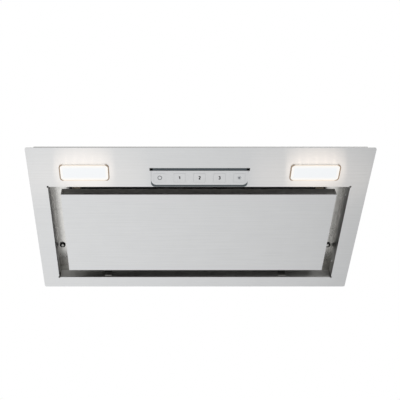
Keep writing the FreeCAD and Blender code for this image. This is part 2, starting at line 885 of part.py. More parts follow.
# Grease filter
def build_filter():
    bottom, top = "deck_bottom", "deck_bottom + filter_thickness"
    blank = box("filter_blank", about("0", "filter_half"), ("filter_front", "filter_rear"), (bottom, top))
    window_y = ("filter_front + filter_front_bar", "filter_rear - filter_bar")
    window = box("filter_window", about("0", "filter_half - filter_bar"), window_y,
                 (f"{bottom} - filter_skin", f"{top} + filter_skin"))
    groove_z = (f"{bottom} + filter_skin", f"{top} - filter_skin")
    groove = box("filter_groove_cut", about("0", "filter_half - filter_bar + filter_groove"),
                 (f"{window_y[0]} - filter_groove", f"{window_y[1]} + filter_groove"), groove_z)
    recess_y = ("latch_y", "latch_y + latch_room")
    recess_low = box("latch_recess_low", about("0", "latch_half + latch_play"), recess_y,
                     (f"{bottom} - filter_skin", f"{bottom} + latch_ledge"))
    recess_high = box("latch_recess_high", about("0", "latch_half + latch_wing + latch_play"), recess_y,
                      (f"{bottom} + latch_ledge", f"{bottom} + latch_recess"))
    slot_z = ("deck_top", "deck_top + tongue_gauge + 2 * latch_play")
    slot = box(
        "latch_slot", about("0", "tongue_half + latch_play"),
        ("filter_front - filter_skin", "latch_y"), slot_z,
    )
    tabs = [
        box(f"filter_tab_{side}", about(f"{way} * tab_spacing / 2", "tab_width / 2"),
            ("filter_rear - filter_skin", "filter_rear + tab_reach"), ("deck_top", "deck_top + tab_gauge"))
        for side, way in SIDES.items()
    ]
    frame = cut("filter_open_frame", blank, window, groove, recess_low, recess_high, slot)
    node("filter_frame", fuse("filter_frame", frame, *tabs))
    slab = box(
        "mesh_slab", about("0", "filter_half - filter_bar + filter_groove - mesh_clearance"),
        (
            f"{window_y[0]} - filter_groove + mesh_clearance",
            f"{window_y[1]} + filter_groove - mesh_clearance",
        ),
        (f"{groove_z[0]} + mesh_clearance", f"{groove_z[1]} - mesh_clearance"),
    )
    node("filter_mesh", cut("filter_mesh", slab, *mesh_holes(groove_z)))
    body_y = ("latch_y", "latch_y + latch_length")
    latch = fuse(
        "filter_latch",
        box(
            "latch_body", about("0", "latch_half"), body_y,
            (f"{bottom} - latch_grip", f"{bottom} + latch_recess - latch_play"),
        ),
        box(
            "latch_wings", about("0", "latch_half + latch_wing"), body_y,
            (f"{bottom} + latch_ledge + latch_play", f"{bottom} + latch_recess - latch_play"),
        ),
        box(
            "latch_tongue", about("0", "tongue_half"),
            ("filter_front - tab_reach", "latch_y + latch_wall"),
            ("deck_top + latch_play", "deck_top + latch_play + tongue_gauge"),
        ),
    )
    node("filter_latch", latch)


def mesh_holes(groove_z):
    """Make the cutters of the mesh, in rows that fill the filter's window."""
    doc.recompute()
    across = 2 * (mm("filter_half") - mm("filter_bar"))
    along = mm("filter_rear") - mm("filter_front") - mm("filter_bar") - mm("filter_front_bar")
    columns = int(across // mm("mesh_pitch"))
    rows = int(along // mm("mesh_pitch"))
    middle = "(filter_front + filter_front_bar + filter_rear - filter_bar) / 2"
    holes = []
    for column in range(columns):
        for row_index in range(rows):
            x = f"({column} - ({columns} - 1) / 2) * mesh_pitch"
            y = f"{middle} + ({row_index} - ({rows} - 1) / 2) * mesh_pitch"
            holes.append(
                box(
                    f"mesh_hole_{column}_{row_index}", about(x, "mesh_hole / 2"),
                    about(y, "mesh_hole / 2"), groove_z,
                )
            )
    return holes


# Lamps
def build_lamp(side, way):
    x = f"{way} * lamp_x"
    half_x, half_y = "lamp_width / 2", "lamp_depth / 2"
    bezel_z = ("plate_bottom - lamp_proud", "plate_bottom")
    outer = box(f"bezel_outer_{side}", about(x, half_x), about("lamp_y", half_y), bezel_z)
    outer = rounded(f"bezel_rounded_{side}", outer, "lamp_corner")
    inner = box(
        f"bezel_inner_{side}", about(x, f"{half_x} - bezel_width"),
        about("lamp_y", f"{half_y} - bezel_width"), bezel_z,
    )
    inner = rounded(f"bezel_hole_{side}", inner, "lamp_inner_corner")
    node(f"lamp_bezel_{side}", cut(f"lamp_bezel_{side}", outer, inner))
    lens_low = "plate_bottom - lamp_proud + lens_recess"
    lens = box(
        f"lens_slab_{side}", about(x, f"{half_x} - bezel_width - lens_clearance"),
        about("lamp_y", f"{half_y} - bezel_width - lens_clearance"),
        (lens_low, f"{lens_low} + lens_thickness"),
    )
    node(f"lamp_lens_{side}", rounded(f"lamp_lens_{side}", lens, "lens_corner"))
    tub_x, tub_y = f"{half_x} + lamp_tub_margin", f"{half_y} + lamp_tub_margin"
    tub_top = "plate_top + lamp_tub_height"
    board_top = "plate_top + lamp_board_drop"
    shell = box(f"tub_shell_{side}", about(x, tub_x), about("lamp_y", tub_y), ("plate_top", tub_top))
    low = box(
        f"tub_low_{side}", about(x, f"{tub_x} - lamp_tub_wall"),
        about("lamp_y", f"{tub_y} - lamp_tub_wall"), ("plate_top", board_top),
    )
    high = box(
        f"tub_high_{side}", about(x, f"{tub_x} - lamp_tub_wall - lamp_step"),
        about("lamp_y", f"{tub_y} - lamp_tub_wall - lamp_step"),
        (board_top, f"{tub_top} - lamp_tub_wall"),
    )
    node(f"lamp_housing_{side}", cut(f"lamp_housing_{side}", shell, low, high))
    board = box(
        f"led_plate_{side}", about(x, f"{tub_x} - lamp_tub_wall - board_clearance"),
        about("lamp_y", f"{tub_y} - lamp_tub_wall - board_clearance"),
        (f"{board_top} - board_gauge", board_top),
    )
    count = int(mm("led_count"))
    chips = [
        box(
            f"led_{side}_{index}",
            about(f"{x} + ({index} - (led_count - 1) / 2) * led_pitch", "led_width / 2"),
            about("lamp_y", "led_width / 2"),
            (f"{board_top} - board_gauge - led_height", f"{board_top} - board_gauge"),
        )
        for index in range(count)
    ]
    node(f"lamp_board_{side}", group(f"lamp_board_{side}", board, *chips))
    strap_x = about(x, "lamp_strap_width / 2")
    reach = f"{tub_y} + lamp_strap_gauge"
    arch = box(
        f"strap_arch_{side}", strap_x, about("lamp_y", reach),
        ("plate_top", f"{tub_top} + lamp_strap_gauge"),
    )
    bay = box(f"strap_bay_{side}", strap_x, about("lamp_y", tub_y), ("plate_top", tub_top))
    feet = box(f"strap_feet_{side}", strap_x, about("lamp_y", f"{reach} + lamp_strap_foot"),
               ("plate_top", "plate_top + lamp_strap_gauge"))
    return cut(f"lamp_strap_{side}", fuse(f"strap_sheet_{side}", arch, feet), bay)


def build_lamps():
    straps = [build_lamp(side, way) for side, way in SIDES.items()]
    node("lamp_straps", group("lamp_straps", *straps))


# Control block, drawn flat with its face at height 0 and then leant towards the cook
def tilted(item):
    """Lean a piece about the front edge of the control face."""
    turn = FreeCAD.Rotation(FreeCAD.Vector(1, 0, 0), -mm("control_tilt"))
    item.Placement = FreeCAD.Placement(FreeCAD.Vector(), turn)
    return put(item, "0", "control_front", "plate_bottom")


def key_x(index):
    return f"({index} - {len(KEYS) - 1} / 2) * key_pitch"


def key_slab(name, index, grow, z):
    """Make a block about one key's middle, larger all round by a formula."""
    return box(name, about(key_x(index), f"key_width / 2 + {grow}"),
               about("key_y", f"key_depth / 2 + {grow}"), z)


def build_control_base():
    """A moulded frame that hangs through the plate, with a rounded heel and a lip behind the slot."""
    wide = about("0", "control_width / 2")
    heel_y = "control_depth + control_rim"
    rim_z = "control_wall + control_rim"
    blank = fuse(
        "base_blank",
        box("base_block", wide, ("0", "control_depth"), ("control_wall", "control_height")),
        rod("base_round", "x", "control_rim", wide, "control_depth", rim_z),
        box("base_heel", wide, ("control_depth", heel_y), (rim_z, "control_height")),
    )
    limit = box("base_limit_block", wide, ("0", heel_y), ("0", f"{rim_z} + control_rim"))
    limit = rounded("base_limit", limit, "control_corner", rear_only=True)
    below = cut(
        "base_below_plate", tilted(common("base_shape", blank, limit)),
        box("base_plate_side", about("0", "control_width"),
            ("control_front - control_depth", "control_front + 2 * control_depth"),
            ("plate_bottom", "plate_bottom + 2 * control_height")),
    )
    neck = box("base_neck_block", wide, ("0", "control_depth"), ("control_wall", "control_height"))
    room = box("base_room_block", about("0", "control_width / 2 - control_wall"),
               ("control_wall", "control_depth - control_wall"), ("control_wall", "control_height"))
    room = tilted(rounded("base_room", room, "control_inner_corner", rear_only=True))
    neck = tilted(group("base_neck", neck))
    frame = cut("base_frame", fuse("base_solid", below, neck), room)
    lip_z = "plate_top + control_lip_gap"
    lip = box("base_lip", about("0", "control_width / 2 - relief_width"),
              ("control_hole_front + control_clearance", "control_front + control_wall"),
              (lip_z, f"{lip_z} + control_lip_gauge"))
    ears = []
    for side, way in SIDES.items():
        ends = ("control_width / 2 - control_wall", "control_width / 2 + relief_width + control_ear_reach")
        if way < 0:
            ends = (f"-({ends[1]})", f"-({ends[0]})")
        ears.append(box(f"base_ear_{side}", ends, about("control_ear_y", "control_ear_half"),
                        ("plate_top", "plate_top + control_ear_gauge")))
    node("control_base", fuse("control_base", frame, lip, *ears))


def build_control():
    build_control_base()
    face = box("face_block", about("0", "control_width / 2"), ("0", "control_depth"),
               ("0", "control_wall"))
    face = rounded("face_rounded", face, "control_corner", rear_only=True)
    holes = []
    for index, key in enumerate(KEYS):
        hole = key_slab(f"{key}_hole_block", index, "key_gap", ("0", "control_wall"))
        holes.append(rounded(f"{key}_hole", hole, "key_corner"))
    node("control_face", tilted(cut("control_face", face, *holes)))
    switch_low = "control_height - switch_height"
    plunger_low = f"{switch_low} - plunger_height"
    shoulder_low = "control_wall + shoulder_gap"
    switches = []
    for index, key in enumerate(KEYS):
        cap = key_slab(f"{key}_cap_block", index, "0", ("0", shoulder_low))
        shoulder = key_slab(f"{key}_shoulder", index, "key_shoulder",
                            (shoulder_low, f"{shoulder_low} + shoulder_gauge"))
        stem = rod(f"{key}_stem", "z", "stem_radius", key_x(index), "key_y",
                   (shoulder_low, f"{plunger_low} - key_travel - switch_gap"))
        node(key, tilted(fuse(key, rounded(f"{key}_cap", cap, "key_corner"), shoulder, stem)))
        block = box(f"{key}_switch_block", about(key_x(index), "switch_size / 2"),
                    about("key_y", "switch_size / 2"), (switch_low, "control_height"))
        plunger = rod(f"{key}_plunger", "z", "plunger_radius", key_x(index), "key_y",
                      (plunger_low, switch_low))
        switches.append(fuse(f"{key}_switch", block, plunger))
    board = box("key_board", about("0", "control_width / 2 - board_clearance"),
                ("board_clearance", "control_depth - board_clearance"),
                ("control_height", "control_top"))
    node("control_board", tilted(group("control_board", board, *switches)))
    cover_x = "control_width / 2 + relief_width + control_ear_reach + cover_margin"
    cover_y = ("control_hole_front - cover_margin", "control_rear + control_clearance")
    tub = box("cover_tub", about("0", f"{cover_x} + cover_wall"),
              (f"{cover_y[0]} - cover_wall", f"{cover_y[1]} + cover_wall"),
              ("plate_top", "plate_top + cover_height"))
    room = box("cover_room", about("0", cover_x), cover_y,
               ("plate_top", "plate_top + cover_height - cover_wall"))
    node("control_cover", cut("control_cover", tub, room))


# Electronics
def build_electronics():
    """A box on the casing's roof beside the tower, with the mains gland in its lid."""
    x, half = "-ebox_x", "ebox_width / 2"
    depth = ("ebox_front", "ebox_rear")
    floor = "casing_roof + ebox_wall"
    room_depth = ("ebox_front + ebox_wall", "ebox_rear - ebox_wall")
    shell = box("ebox_shell", about(x, half), depth, ("casing_roof", "ebox_top"))
    room = box("ebox_room", about(x, f"{half} - ebox_wall"), room_depth, (floor, "ebox_top"))
    node("electronics_box", cut("electronics_box", shell, room))
    lid = box("lid_sheet", about(x, half), depth, ("ebox_top", "ebox_top + ebox_wall"))
    lid_hole = rod("lid_gland_hole", "z", "gland_radius + gland_clearance", x, "gland_y",
                   ("ebox_top - ebox_wall", "ebox_top + 2 * ebox_wall"))
    node("electronics_lid", cut("electronics_lid", lid, lid_hole))
    board_low = f"{floor} + ebox_standoff"
    board_top = f"{board_low} + board_gauge"
    board = box(
        "power_sheet", about(x, f"{half} - ebox_wall - power_margin"),
        (f"{room_depth[0]} + power_margin", f"{room_depth[1]} - power_margin"), (board_low, board_top),
    )
    posts = [
        box(f"power_post_{end}", about(x, "power_post_half"),
            about(f"ebox_middle + {way} * (ebox_depth / 2 - power_post_inset)", "power_post_half"),
            (floor, board_low))
        for end, way in (("front", -1), ("rear", 1))
    ]
    board = fuse("power_plate", board, *posts)
    terminal_y = about("ebox_middle", "terminal_depth / 2")
    block = box(
        "terminal_blank", about(x, "terminal_width / 2"), terminal_y,
        (board_top, f"{board_top} + terminal_height"),
    )
    poles = int(mm("terminal_poles"))
    holes = [
        rod(f"terminal_hole_{index}", "y", "terminal_hole",
            f"{x} + ({index} - (terminal_poles - 1) / 2) * terminal_width / terminal_poles",
            (f"{terminal_y[0]} + terminal_floor", terminal_y[1]), f"{board_top} + terminal_height / 2")
        for index in range(poles)
    ]
    node("power_board", group("power_board", board, cut("terminal_block", block, *holes)))
    gland = turned("cable_gland", [
        ("gland_bore", "-gland_nut"),
        ("gland_flange", "-gland_nut"),
        ("gland_flange", "0"),
        ("gland_radius", "0"),
        ("gland_radius", "ebox_wall"),
        ("gland_flange", "ebox_wall"),
        ("gland_flange", "ebox_wall + gland_height / 2"),
        ("gland_radius", "ebox_wall + gland_height"),
        ("gland_bore", "ebox_wall + gland_height"),
    ])
    node("cable_gland", put(gland, x, "gland_y", "ebox_top"))


# Blower tower and scroll
def build_tower():
    depth = ("tower_front", "tower_rear")
    inner_depth = ("tower_front + casing_gauge", "tower_rear - casing_gauge")
    rise = ("casing_roof", "tower_top")
    tube = box("tower_tube", about("0", "tower_half"), depth, rise)
    flange = box(
        "tower_foot", about("0", "tower_half + tower_flange"),
        ("tower_front - tower_flange", "tower_rear + tower_flange"),
        ("casing_roof", "casing_roof + casing_gauge"),
    )
    room = box("tower_room", about("0", "tower_half - casing_gauge"), inner_depth, rise)
    node("blower_tower", cut("blower_tower", fuse("tower_sheet", tube, flange), room))
    roof_z = ("tower_top", "collar_base")
    roof = box("tower_roof_sheet", about("0", "tower_half"), depth, roof_z)
    mouth = rod("tower_mouth", "z", "collar_bore - stop_width", "0", "collar_y", roof_z)
    throat = box("tower_throat", about("0", "scroll_half"),
                 about("outlet_y", "(scroll_radius + 3 * scroll_growth + tongue_setback) / 2"), roof_z)
    outlet = common("tower_outlet", mouth, throat)
    node("tower_roof", cut("tower_roof", roof, outlet, *collar_screw_holes("roof_hole")))


def scroll_path(offset):
    """Trace the scroll's wall from the tongue's outlet side round to the rear outlet side, in Y and Z."""
    start, grow = mm("scroll_radius"), mm("scroll_growth")
    top = mm("scroll_axis_drop")
    front = -mm("tongue_setback") - offset
    radius = start + offset
    tongue = (front, math.sqrt(radius ** 2 - front ** 2))

    def point(pair):
        return FreeCAD.Vector(0, mm("axis_y") + pair[0], mm("axis_z") + pair[1])

    def arc(first, centre, size, last):
        a = math.atan2(first[1] - centre[1], first[0] - centre[0])
        b = math.atan2(last[1] - centre[1], last[0] - centre[0])
        if b < a:
            b += 2 * math.pi
        half = (a + b) / 2
        middle = (centre[0] + size * math.cos(half), centre[1] + size * math.sin(half))
        return Part.Arc(point(first), point(middle), point(last)).toShape()

    west = (-radius, 0.0)
    south = (grow, -radius - grow)
    east = (radius + 3 * grow, grow)
    return [
        Part.LineSegment(point((front, top)), point(tongue)).toShape(),
        arc(tongue, (0.0, 0.0), radius, west),
        arc(west, (grow, 0.0), radius + grow, south),
        arc(south, (grow, grow), radius + 2 * grow, east),
        Part.LineSegment(point(east), point((east[0], top))).toShape(),
    ], point((front, top)), point((east[0], top))


def scroll_feature(name, face, low, high):
    """Stretch a flat scroll outline along X."""
    item = doc.addObject("Part::Feature", name)
    item.Shape = face.extrude(FreeCAD.Vector(high - low, 0, 0))
    item.Placement = FreeCAD.Placement(FreeCAD.Vector(low, 0, 0), FreeCAD.Rotation())
    return node(name, item)


def build_scroll():
    inner, inner_front, inner_rear = scroll_path(0.0)
    outer, outer_front, outer_rear = scroll_path(mm("scroll_gauge"))
    rims = [
        Part.LineSegment(inner_rear, outer_rear).toShape(),
        Part.LineSegment(outer_front, inner_front).toShape(),
    ]
    wall = Part.Face(Part.Wire(Part.__sortEdges__(inner + outer + rims)))
    half, gauge = mm("scroll_half"), mm("scroll_gauge")
    scroll_feature("scroll_wrap", wall, -half, half)
    lid = Part.LineSegment(outer_rear, outer_front).toShape()
    cheek = Part.Face(Part.Wire(Part.__sortEdges__(outer + [lid])))
    centre = FreeCAD.Vector(0, mm("axis_y"), mm("axis_z"))
    inlet = Part.Wire(Part.makeCircle(mm("inlet_radius"), centre, FreeCAD.Vector(1, 0, 0)))
    cheek = cheek.cut(Part.Face(inlet)).Faces[0]
    scroll_feature("scroll_side_left", cheek, -half - gauge, -half)
    scroll_feature("scroll_side_right", cheek, half, half + gauge)


# Impeller and motor
def build_impeller():
    parts = [rod("wheel_plate", "x", "wheel_radius", about("0", "wheel_disc / 2"), "axis_y", "axis_z"),
             rod("wheel_hub", "x", "hub_radius", ("-hub_length - wheel_disc / 2", "0"), "axis_y", "axis_z")]
    for side, way in SIDES.items():
        ends = ("wheel_half - wheel_ring", "wheel_half") if way > 0 else (
            "-wheel_half", "-wheel_half + wheel_ring",
        )
        parts.append(
            cut(
                f"wheel_ring_{side}",
                rod(f"ring_disc_{side}", "x", "wheel_radius", ends, "axis_y", "axis_z"),
                rod(f"ring_bore_{side}", "x", "blade_root", ends, "axis_y", "axis_z"),
            )
        )
    count = int(mm("blade_count"))
    root = "blade_root + blade_gauge"
    for index in range(count):
        angle = 360.0 * index / count
        blade = doc.addObject("Part::Box", f"blade_{index}")
        bind(
            blade, Length="2 * wheel_half - wheel_ring", Width="wheel_rim - 2 * blade_gauge",
            Height="blade_gauge",
        )
        turn = FreeCAD.Rotation(FreeCAD.Vector(1, 0, 0), angle + mm("blade_tilt"))
        blade.Placement = FreeCAD.Placement(FreeCAD.Vector(), turn)
        y = f"axis_y + ({root}) * cos({angle} * 1 deg)"
        z = f"axis_z + ({root}) * sin({angle} * 1 deg)"
        parts.append(put(blade, "-wheel_half + wheel_ring / 2", y, z))
    bore = rod(
        "wheel_bore", "x", "shaft_radius + press_clearance", about("0", "2 * hub_length"), "axis_y",
        "axis_z",
    )
    node("impeller_wheel", cut("impeller_wheel", fuse("wheel_blank", *parts), bore))
    shaft_start = "-hub_length - wheel_disc"
    node(
        "motor_shaft",
        rod(
            "motor_shaft", "x", "shaft_radius", (shaft_start, f"{shaft_start} + shaft_length"),
            "axis_y", "axis_z",
        ),
    )


def build_motor():
    front = "wheel_disc / 2 + motor_gap"
    bracket_x = "scroll_half + scroll_gauge + grommet_height"
    bore = "shaft_radius + running_clearance"
    end = f"{bracket_x} - ({front})"
    along_x = FreeCAD.Rotation(FreeCAD.Vector(0, 1, 0), 90)
    motor = turned("blower_motor", [
        (bore, "0"),
        ("motor_radius", "0"),
        ("motor_radius", "motor_length"),
        ("motor_boss_radius", "motor_length"),
        ("motor_boss_radius", end),
        (bore, end),
    ], along_x)
    node("blower_motor", put(motor, front, "axis_y", "axis_z"))
    arm_x = (bracket_x, f"{bracket_x} + bracket_gauge")
    parts = [rod("bracket_centre", "x", "bracket_disc", arm_x, "axis_y", "axis_z")]
    grommets = []
    count = int(mm("grommet_count"))
    for index in range(count):
        angle = 90.0 + 360.0 * index / count
        arm = doc.addObject("Part::Box", f"bracket_arm_{index}")
        bind(arm, Length="bracket_gauge", Width="grommet_circle + grommet_radius", Height="bracket_arm")
        arm.Placement = FreeCAD.Placement(
            FreeCAD.Vector(), FreeCAD.Rotation(FreeCAD.Vector(1, 0, 0), angle),
        )
        side_y = f"axis_y + bracket_arm / 2 * sin({angle} * 1 deg)"
        side_z = f"axis_z - bracket_arm / 2 * cos({angle} * 1 deg)"
        parts.append(put(arm, bracket_x, side_y, side_z))
        y = f"axis_y + grommet_circle * cos({angle} * 1 deg)"
        z = f"axis_z + grommet_circle * sin({angle} * 1 deg)"
        grommets.append(
            rod(
                f"grommet_{index}", "x", "grommet_radius",
                ("scroll_half + scroll_gauge", bracket_x), y, z,
            )
        )
    node("motor_bracket", fuse("motor_bracket", *parts))
    node("motor_grommets", group("motor_grommets", *grommets))


def build_capacitor():
    wall = "tower_half - casing_gauge"
    x = f"-({wall}) + capacitor_radius + capacitor_clip_wall"
    low = "casing_roof + capacitor_lift"
    can = ("capacitor_radius", x, "tower_y")
    node("capacitor", rod("capacitor", "z", can[0], can[1], can[2], (low, f"{low} + capacitor_height")))
    middle = f"{low} + capacitor_height / 2"
    block = box("clip_block", (f"-({wall})", x), about("tower_y", "capacitor_radius + capacitor_clip_wall"),
                about(middle, "capacitor_clip / 2"))
    seat = rod(
        "clip_seat", "z", "capacitor_radius + capacitor_play", can[1], can[2],
        (low, f"{low} + capacitor_height"),
    )
    node("capacitor_clip", cut("capacitor_clip", block, seat))


# Exhaust collar and flaps
def collar_corners():
    """Give the four screw places on the collar's flange."""
    reach = "(collar_flange / 2 - collar_hole_inset)"
    for side, way in SIDES.items():
        for end, sign in (("front", -1), ("rear", 1)):
            yield f"{side}_{end}", f"{way} * {reach}", f"collar_y + {sign} * {reach}"


def collar_screw_holes(name):
    span = ("tower_top - casing_gauge", "collar_floor + flange_gauge")
    return [
        rod(f"{name}_{corner}", "z", "screw_shank_radius + screw_clearance", x, y, span)
        for corner, x, y in collar_corners()
    ]


def build_collar():
    flange = box("collar_plate", about("0", "collar_flange / 2"), about("collar_y", "collar_flange / 2"),
                 ("collar_base", "collar_floor"))
    tube = rod("collar_tube", "z", "collar_radius", "0", "collar_y", ("collar_floor", "collar_top"))
    bore = rod(
        "collar_hole", "z", "collar_bore", "0", "collar_y",
        ("collar_base - flange_gauge", "collar_top + flange_gauge"),
    )
    shell = cut(
        "collar_shell", fuse("collar_blank", flange, tube), bore,
        *collar_screw_holes("collar_screw_hole"),
    )
    stop_z = ("stop_top - stop_gauge", "stop_top")
    ring = cut("stop_ring", rod("stop_disc", "z", "collar_bore", "0", "collar_y", stop_z),
               rod("stop_hole", "z", "collar_bore - stop_width", "0", "collar_y", stop_z))
    block_z = about("flap_pin_z", "pin_block_height / 2")
    inside = rod("block_limit", "z", "collar_bore", "0", "collar_y", block_z)
    blocks, pins = [], []
    for side, way in SIDES.items():
        ends = ("collar_bore - pin_block", "collar_bore") if way > 0 else (
            "-collar_bore", "-collar_bore + pin_block",
        )
        block = box(f"block_blank_{side}", ends, about("collar_y", "pin_block_half"), block_z)
        blocks.append(common(f"pin_block_{side}", block, inside))
    pin_bores = []
    for end, way in (("front", -1), ("rear", 1)):
        y = f"collar_y + {way} * flap_pin_offset"
        reach = about("0", "collar_bore - flap_pin_end")
        pins.append(rod(f"flap_pin_{end}", "x", "flap_pin_radius", reach, y, "flap_pin_z"))
        pin_bores.append(
            rod(f"pin_bore_{end}", "x", "flap_pin_radius + press_clearance", reach, y, "flap_pin_z")
        )
    node("exhaust_collar", cut("exhaust_collar", fuse("collar_body", shell, ring, *blocks), *pin_bores))
    node("flap_pins", group("flap_pins", *pins))
    screws = [
        screw(f"collar_screw_{corner}", "z", 1, x, y, "collar_floor")
        for corner, x, y in collar_corners()
    ]
    node("collar_screws", group("collar_screws", *screws))


def build_flaps():
    level = ("flap_bottom", "flap_bottom + flap_gauge")
    for end, way in (("front", -1), ("rear", 1)):
        y = f"collar_y + {way} * flap_pin_offset"
        disc = rod(f"flap_disc_{end}", "z", "collar_bore - flap_gap", "0", "collar_y", level)
        half_y = (y, "collar_y + collar_bore") if way > 0 else ("collar_y - collar_bore", y)
        half = common(
            f"flap_half_{end}", disc,
            box(f"flap_side_{end}", about("0", "collar_bore"), half_y, level),
        )
        notches = [
            box(f"flap_notch_{end}_{side}",
                ("flap_barrel_half", "collar_bore") if hand > 0 else ("-collar_bore", "-flap_barrel_half"),
                about("collar_y", "pin_block_half + pin_block_gap"), level)
            for side, hand in SIDES.items()
        ]
        plate = cut(f"flap_plate_{end}", half, *notches)
        barrel = rod(
            f"flap_barrel_{end}", "x", "flap_barrel_radius", about("0", "flap_barrel_half"), y,
            "flap_pin_z",
        )
        bore = rod(
            f"flap_bore_{end}", "x", "flap_pin_radius + running_clearance",
            about("0", "collar_bore"), y, "flap_pin_z",
        )
        label = f"draught_flap_{end}"
        node(label, cut(label, fuse(f"flap_blank_{end}", plate, barrel), bore))


def main():
    build_face_plate()
    build_casing()
    build_cabinet_clips()
    build_deck()
    build_panel()
    build_catches()
    build_filter()
    build_lamps()
    build_control()
    build_electronics()
    build_tower()
    build_scroll()
    build_impeller()
    build_motor()
    build_capacitor()
    build_collar()
    build_flaps()
    doc.recompute()
    failed = [o.Name for o in doc.Objects if "Invalid" in o.State or "Error" in o.State]
    failed += [o.Label for o in nodes if o.Shape.isNull() or not o.Shape.isValid()]
    if failed:
        raise RuntimeError("not built: " + ", ".join(failed))
    os.makedirs("parts", exist_ok=True)
    for item in nodes:
        item.Shape.exportStep(f"parts/{item.Label}.step")
    print(len(nodes), "pieces")


main()
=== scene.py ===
"""Studio looks of a built-in range hood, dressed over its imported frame."""
import json
import logging
import math
from abc import ABC, abstractmethod
from dataclasses import dataclass
from enum import Enum
from typing import Any, Callable, ClassVar, Iterable, Optional, Sequence

import bmesh
import bpy
from mathutils import Matrix, Vector


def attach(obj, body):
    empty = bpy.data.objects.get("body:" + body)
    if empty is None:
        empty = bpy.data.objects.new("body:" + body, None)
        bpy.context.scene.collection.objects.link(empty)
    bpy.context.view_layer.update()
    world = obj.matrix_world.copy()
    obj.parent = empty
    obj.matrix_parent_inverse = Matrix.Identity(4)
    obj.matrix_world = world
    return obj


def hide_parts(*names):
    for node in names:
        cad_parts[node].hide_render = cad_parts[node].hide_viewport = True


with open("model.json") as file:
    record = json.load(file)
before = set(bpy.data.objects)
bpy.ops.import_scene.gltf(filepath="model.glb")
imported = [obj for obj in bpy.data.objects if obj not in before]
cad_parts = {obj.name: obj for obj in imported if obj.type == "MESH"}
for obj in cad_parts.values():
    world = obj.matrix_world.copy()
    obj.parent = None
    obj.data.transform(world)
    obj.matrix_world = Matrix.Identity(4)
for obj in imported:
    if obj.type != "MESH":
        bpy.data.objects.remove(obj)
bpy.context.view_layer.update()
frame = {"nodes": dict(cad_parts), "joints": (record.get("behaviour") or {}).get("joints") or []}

Tree = bpy.types.NodeTree
Node = bpy.types.Node
Socket = bpy.types.NodeSocket
Shape = bmesh.types.BMesh

LOG = logging.getLogger("range_hood")
MM = 0.001
# Points nearer to each other than this, in millimetres, are one.
WELD = 0.001
# Half a mark's thickness before it is scaled to the print's gauge, and half the way across a piece.
HALF = 0.5
# Most values of a noise pattern lie between these.
NOISE_LOW, NOISE_HIGH = 0.3, 0.7
# Numbers of the Mix node's sockets, whose names repeat.
FACTOR, FLOAT_A, FLOAT_B, COLOUR_A, COLOUR_B = 0, 2, 3, 6, 7


def linear(code: str) -> tuple[float, float, float, float]:
    """Turn an sRGB hex colour into a linear one.

    Args:
        code: Six hex digits after a hash.
    Returns:
        Red, green, blue and alpha.
    """
    parts = [int(code[start:start + 2], 16) / 255 for start in (1, 3, 5)]
    curve = [part / 12.92 if part <= 0.04045 else ((part + 0.055) / 1.055) ** 2.4 for part in parts]
    return curve[0], curve[1], curve[2], 1.0


def feed(tree: Tree, node: Node, inputs: dict[Any, Any]) -> None:
    """Set or link a node's inputs.

    Args:
        tree: The node tree.
        node: The node.
        inputs: Values, sockets or nodes by the input's name or number. A node stands for its first
            output in use.
    """
    for key, value in inputs.items():
        if isinstance(value, Node):
            value = next(output for output in value.outputs if output.enabled)
        if isinstance(value, Socket):
            tree.links.new(value, node.inputs[key])
        else:
            node.inputs[key].default_value = value


def add_node(tree: Tree, kind: str, inputs: Optional[dict[Any, Any]] = None, **settings: Any) -> Node:
    """Add one node to a tree.

    Args:
        tree: The node tree.
        kind: Blender's name of the node, without ShaderNode before it.
        inputs: What feeds its inputs, by their name or number.
        settings: The node's own properties.
    Returns:
        The new node.
    """
    node = tree.nodes.new("ShaderNode" + kind)
    for key, value in settings.items():
        setattr(node, key, value)
    feed(tree, node, inputs or {})
    return node


def per_mm(x: float, y: Optional[float] = None, z: Optional[float] = None) -> tuple[float, ...]:
    """Give the mapping scale at which one pattern unit covers these millimetres, or x each way."""
    return tuple(1 / ((x if length is None else length) * MM) for length in (x, y, z))


@dataclass(frozen=True)
class Finish(ABC):
    """A real material and the way its surface was made."""

    name: str

    @abstractmethod
    def lay_out(self, tree: Tree, shader: Node) -> None:
        """Lay out the finish's nodes.

        Args:
            tree: The material's node tree.
            shader: The surface shader that the nodes feed.
        """

    def material(self) -> bpy.types.Material:
        """Give the finish's material, made on first use.

        Returns:
            The material.
        """
        made = bpy.data.materials.get(self.name)
        if made is None:
            made = bpy.data.materials.new(self.name)
            made.use_nodes = True
            tree = made.node_tree
            tree.nodes.clear()
            shader = add_node(tree, "BsdfPrincipled")
            add_node(tree, "OutputMaterial", {"Surface": shader})
            self.lay_out(tree, shader)
        return made


